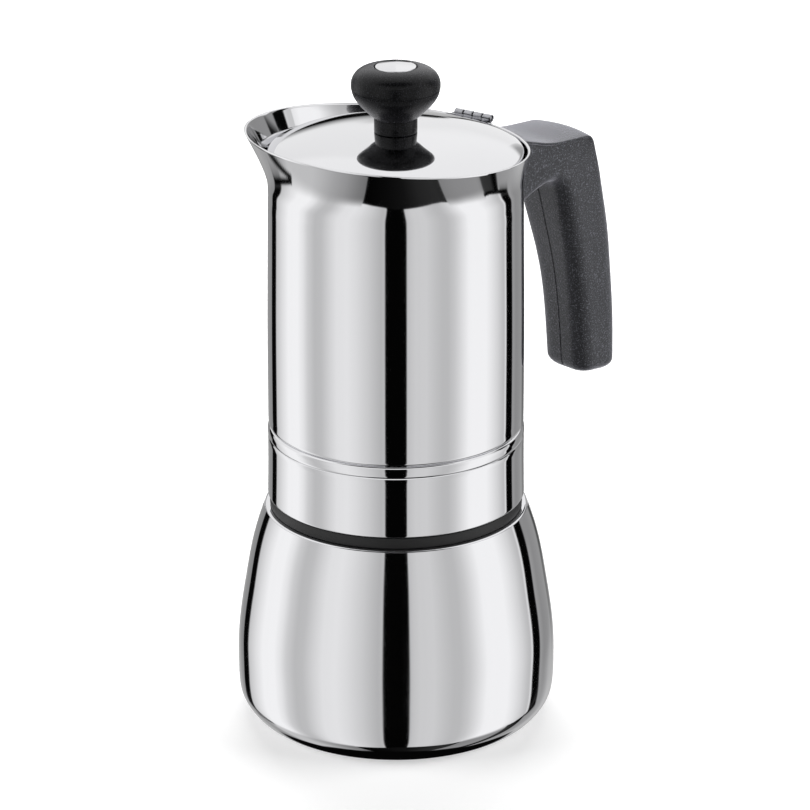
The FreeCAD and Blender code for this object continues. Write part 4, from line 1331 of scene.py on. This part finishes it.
@dataclass
class Studio:
    """A pale floor, white air, a glowing sheet of light cards and dark flags that paints the reflections on
    polished steel, three soft lamps and the camera.
    """

    camera_place: tuple[float, float, float] = (-0.7625, -0.8214, 0.5301)
    camera_aim: tuple[float, float, float] = (0.00205, -0.00192, 0.1014)
    lens_mm: float = 171.2
    sensor_mm: float = 36.0
    floor_size: float = 8.0
    floor_grain_mm: float = 2.5
    floor_tones: tuple[float, float] = (0.8, 0.82)
    # How much paler than lit the floor looks, by the distance from the pot in metres.
    floor_lift: Table = ((0.3, 0.32), (1.1, 0.8))
    air: float = 0.15
    # The main lamp hangs high behind the pot, and two weaker ones at its shoulders.
    lights: tuple[Lamp, ...] = (
        Lamp("back", (0.86, 0.92, 1.08), 1.2, 24.0),
        Lamp("right", (0.85, -0.9, 0.55), 1.0, 16.0),
        Lamp("left", (-1.05, 0.75, 0.55), 1.0, 16.0),
    )
    middle_height: float = 0.1
    steel_tone: float = 0.73
    cards_reach: float = 6.0
    cards_step: float = 0.5
    # The elevations that the cards have a tone at: from, up to and step.
    cards_rows: tuple[tuple[float, float, float], ...] = (
        (-90, -70, 2.0), (-70, -22, 0.75), (-22, 20, 1.5), (20, 90.1, 5.0),
    )
    # Every table runs over the bearing from the camera's side, positive to the right as seen from
    # there. A tone is the sRGB step that polished steel shows for the card in that direction, a
    # painted reflection. All angles are in degrees.
    walls: Table = (
        (-180, 140), (-148, 132), (-146.5, 5), (-137, 5), (-134.5, 190), (-121, 222), (-112, 239),
        (-98, 241), (-91, 226), (-85, 203), (-77, 185), (-70, 188), (-62, 207), (-54, 223), (-44, 226),
        (-35, 217), (-24, 200), (-13, 177), (-10, 184), (-8.8, 3), (8.8, 3), (10, 190), (17, 201),
        (27, 203), (35, 192), (42, 184), (47, 184), (53, 196), (62, 223), (68, 239), (74, 241),
        (88, 240), (95, 228), (103, 210), (110, 190), (113, 185), (115, 215), (116.3, 215), (117.3, 4),
        (126.5, 4), (128.5, 150), (136, 134), (154, 140), (160, 60), (168, 60), (172, 165), (180, 160),
    )
    ground: Table = (
        (-180, 175), (-160, 165), (-150, 152), (-140, 145), (-134, 150), (-124, 188), (-100, 187),
        (-90, 177), (-78, 161), (-64, 146), (-48, 122), (-39, 112), (-37.5, 3), (-10, 10), (12, 18),
        (30, 34), (50, 42), (57.5, 38), (59, 126), (73, 134), (95, 140), (98, 132), (99.5, 52),
        (108, 46), (111.5, 4), (114, 4), (116, 142), (127, 148), (135, 155), (147, 178), (160, 170),
        (180, 165),
    )
    horizon: Table = (
        (-180, -20), (-160, -24), (-144, -30), (-122, -41), (-100, -46), (-60, -53), (-37, -55.8),
        (-14, -54.2), (0, -51.6), (28, -52.0), (42, -52.0), (52, -51.0), (60, -48.5), (68, -46),
        (78, -44), (91, -40.5), (104, -37.5), (125, -29), (160, -22), (180, -20),
    )
    ceiling: Table = (
        (-180, 224), (-150, 222), (-120, 226), (-60, 232), (0, 135), (36, 135), (41, 153), (52, 165),
        (64, 180), (80, 188), (100, 196), (103, 205), (104.5, 6), (115, 6), (117, 140), (150, 132),
        (163, 150), (168, 224), (180, 224),
    )
    # A ground tone under cloth_tone is black cloth, whose edge is sharper than a card's.
    cloth_tone: float = 100.0
    cloth_edge: float = 1.2
    card_edge: float = 9.0
    # Thin dark seams between the cards: the two stretches of the horizon that have one, one that
    # slants across the ground, and one that climbs behind the pot.
    horizon_seams: Table = ((-146.5, -121.0), (97.5, 126.5))
    slant_seam: Table = ((-143.5, -35.635), (-121.0, -42.61))
    back_seam: Table = ((172, -9), (173, -7), (175.5, -1.5), (176.7, 1), (177.6, 6.5))
    horizon_seam_tone: float = 4.0
    slant_seam_tone: float = 8.0
    back_seam_tone: float = 12.0
    back_cards: tuple[float, float] = (168.0, 222.0)
    # The elevations at which the ceiling, the white above it and the grey flag overhead begin.
    ceiling_front: float = 26.0
    ceiling_back: float = 8.0
    ceiling_right: float = -12.0
    white: float = 231.0
    white_foot: float = 29.0
    white_foot_right: float = 13.0
    overhead: float = 30.0
    overhead_foot: float = 46.0
    # The black of the dark flags, and of the painted shade of the pot's own shadow below it.
    flag_and_shade: float = 5.0
    # Where the pot's own shade begins below, by the bearing to either side.
    shade: Table = ((60, -72), (120, -63), (150, -44), (180, -40))

    def bearing(self) -> float:
        """Direction of the camera from the pot, in radians about Z."""
        return math.atan2(self.camera_place[1], self.camera_place[0])

    def card_tone(self, bearing: float, elevation: float) -> float:
        """Radiance of the cards in one direction from the pot.

        The cards are a glowing sheet that paints the steel's reflections. They stand round the pot
        down to a horizon, below which a second, darker set lies round a black cloth; a third set
        hangs over the mouth.

        Args:
            bearing: Degrees from the camera's side.
            elevation: Degrees above the horizontal.

        Returns:
            The card's radiance.
        """
        side = abs(bearing)
        horizon, below, over = (read(table, bearing) for table in (self.horizon, self.ground, self.ceiling))
        edge = self.cloth_edge if below < self.cloth_tone else self.card_edge
        tone = blend(read(self.walls, bearing), below, (horizon - elevation) / edge + 0.5)
        # The seams along the horizon and across the ground.
        if any(low < bearing < high for low, high in self.horizon_seams):
            tone = blend(tone, self.horizon_seam_tone, 2.6 - 2 * abs(elevation - horizon))
        if self.slant_seam[0][0] < bearing < self.slant_seam[1][0]:
            off = abs(elevation - read(self.slant_seam, bearing))
            tone = blend(tone, self.slant_seam_tone, 2.0 - 2 * off)
        # The ceiling, which comes lower behind the pot and lowest on the right.
        if bearing > 128:
            tone = blend(tone, over, (elevation - self.ceiling_right) / 4)
        tone = blend(tone, over, (elevation - (self.ceiling_back if side > 95 else self.ceiling_front)) / 5)
        # Straight behind the pot: a dark flag on the left, two cards and their seam on the right.
        if bearing < -166:
            tone += (self.flag_and_shade - tone) * ease((elevation + 4) / 4) * ease((8.5 - elevation) / 2.5)
        elif bearing > 166 and elevation > -20:
            above = elevation - read(self.back_seam, bearing)
            tone = blend(*self.back_cards, (above - 1) / 1.5)
            tone = blend(tone, self.back_seam_tone, 2.2 - abs(above))
        # White above the ceiling, a grey flag overhead in front, and the shade below.
        foot = self.white_foot_right if bearing > 125 else self.white_foot
        tone = blend(tone, self.white, (elevation - foot) / 6)
        tone += (self.overhead - tone) * ease((elevation - self.overhead_foot) / 8) * ease((80 - side) / 20)
        # Painted shade: below the shade line the sheet turns black, standing in for the pot's own shadow.
        tone = blend(tone, self.flag_and_shade, (read(self.shade, side) - elevation) / 4)
        return linear(f"{int(tone):02X}" * 3)[0] / self.steel_tone

    def cards(self) -> None:
        """Hang the glowing sheet of cards and cloths all round, a painted reflection that only polished
        surfaces see.
        """
        elevations = np.concatenate([np.arange(*row) for row in self.cards_rows])
        bearings = np.arange(-180, 180 + self.cards_step / 2, self.cards_step)
        points, tones = [], []
        for elevation in elevations:
            lift = math.radians(elevation)
            for bearing in bearings:
                turn = math.radians(bearing) + self.bearing()
                points.append((self.cards_reach * math.cos(lift) * math.cos(turn),
                               self.cards_reach * math.cos(lift) * math.sin(turn),
                               self.cards_reach * math.sin(lift) + self.middle_height))
                tones.append(self.card_tone(float(bearing), float(elevation)))
        wide = len(bearings)
        faces = [(i * wide + k, i * wide + k + 1, (i + 1) * wide + k + 1, (i + 1) * wide + k)
                 for i in range(len(elevations) - 1) for k in range(wide - 1)]
        mesh = bpy.data.meshes.new("cards_and_flags")
        mesh.from_pydata(points, [], faces)
        mesh.attributes.new("tone", "FLOAT", "POINT").data.foreach_set("value", tones)
        material = bare_material("studio_cards_matt")
        tree = material.node_tree
        # Each point glows with its painted reflection tone; the sheet is no lit matt card and lights nothing.
        tone = add_node(tree, "ShaderNodeAttribute", {"attribute_name": "tone"})
        glow = add_node(tree, "ShaderNodeEmission", links={"Color": tone.outputs["Fac"]})
        add_node(tree, "ShaderNodeOutputMaterial", links={"Surface": glow.outputs["Emission"]})
        mesh.materials.append(material)
        cards = put("cards_and_flags", mesh)
        # Hidden from the eye, from diffuse light and from shadows: the sheet only paints reflections.
        cards.visible_camera = False
        cards.visible_diffuse = False
        cards.visible_shadow = False
        cards.visible_transmission = False

    def floor(self) -> None:
        """Lay the pale floor, which keeps the pot's soft shadow and pales to white away from it."""
        half = self.floor_size / 2
        mesh = bpy.data.meshes.new("floor")
        mesh.from_pydata([(-half, -half, 0), (half, -half, 0), (half, half, 0), (-half, half, 0)], [],
                         [(0, 1, 2, 3)])
        material = bare_material("studio_floor_matt_white")
        tree = material.node_tree
        place = add_node(tree, "ShaderNodeTexCoord").outputs["Object"]
        speckle = add_node(tree, "ShaderNodeTexNoise", {"Scale": 1000 / self.floor_grain_mm},
                           {"Vector": place})
        low, high = self.floor_tones
        tone = add_node(tree, "ShaderNodeMapRange", {"To Min": low, "To Max": high},
                        {"Value": speckle.outputs["Fac"]})
        matt = add_node(tree, "ShaderNodeBsdfDiffuse", links={"Color": tone.outputs["Result"]})
        reach = add_node(tree, "ShaderNodeVectorMath", {"operation": "LENGTH"}, {0: place})
        (start, least), (end, most) = self.floor_lift
        far = add_node(tree, "ShaderNodeMapRange",
                       {"From Min": start, "From Max": end, "To Min": least, "To Max": most},
                       {"Value": reach.outputs["Value"]})
        seen = add_node(tree, "ShaderNodeMath", {"operation": "MULTIPLY"},
                        {0: looked_at(tree), 1: far.outputs["Result"]})
        lift = add_node(tree, "ShaderNodeEmission", links={"Strength": seen.outputs["Value"]})
        pale = add_node(tree, "ShaderNodeAddShader",
                        links={0: matt.outputs["BSDF"], 1: lift.outputs["Emission"]})
        add_node(tree, "ShaderNodeOutputMaterial", links={"Surface": pale.outputs["Shader"]})
        mesh.materials.append(material)
        floor = put("floor", mesh)
        floor.visible_glossy = False

    def world(self) -> None:
        """Fill the studio with plain white air."""
        world = bpy.data.worlds.new("studio")
        bpy.context.scene.world = world
        world.use_nodes = True
        tree = world.node_tree
        tree.nodes.clear()
        strength = add_node(tree, "ShaderNodeMapRange", {"To Min": self.air, "To Max": 1.0},
                            {"Value": looked_at(tree)})
        light = add_node(tree, "ShaderNodeBackground", {"Color": (1, 1, 1, 1)},
                         {"Strength": strength.outputs["Result"]})
        add_node(tree, "ShaderNodeOutputWorld", links={"Surface": light.outputs["Background"]})

    def lamps(self) -> None:
        """Hang the soft lamps, which polished surfaces don't see."""
        middle = Vector((0, 0, self.middle_height))
        for light in self.lights:
            data = bpy.data.lights.new(light.name, "AREA")
            data.size = light.size
            data.energy = light.power
            lamp = put(light.name, data)
            lamp.location = light.place
            lamp.rotation_euler = (middle - Vector(light.place)).to_track_quat("-Z", "Y").to_euler()
            lamp.visible_glossy = False

    def camera(self) -> None:
        """Stand the camera at the viewing angle."""
        data = bpy.data.cameras.new("camera")
        data.lens = self.lens_mm
        data.sensor_width = self.sensor_mm
        data.clip_start = 0.05
        place, aim = Vector(self.camera_place), Vector(self.camera_aim)
        turn = (aim - place).to_track_quat("-Z", "Y").to_matrix().to_4x4()
        camera = put("camera", data)
        camera.matrix_world = Matrix.Translation(place) @ turn
        bpy.context.scene.camera = camera

    def build(self) -> None:
        """Set the whole studio up."""
        self.floor()
        self.cards()
        self.world()
        self.lamps()
        self.camera()
        bpy.context.scene.view_settings.view_transform = "Standard"


def main() -> None:
    """Build every piece in order."""
    logging.basicConfig(level=logging.INFO, format="%(name)s: %(message)s")
    finishes = Finishes.make()
    for assembly in (Boiler, Funnel, Jug, Handle, Hinge, Lid):
        LOG.info("building: %s", assembly.__name__)
        assembly(finishes).build()
    Studio().build()


if __name__ == "__main__":
    main()
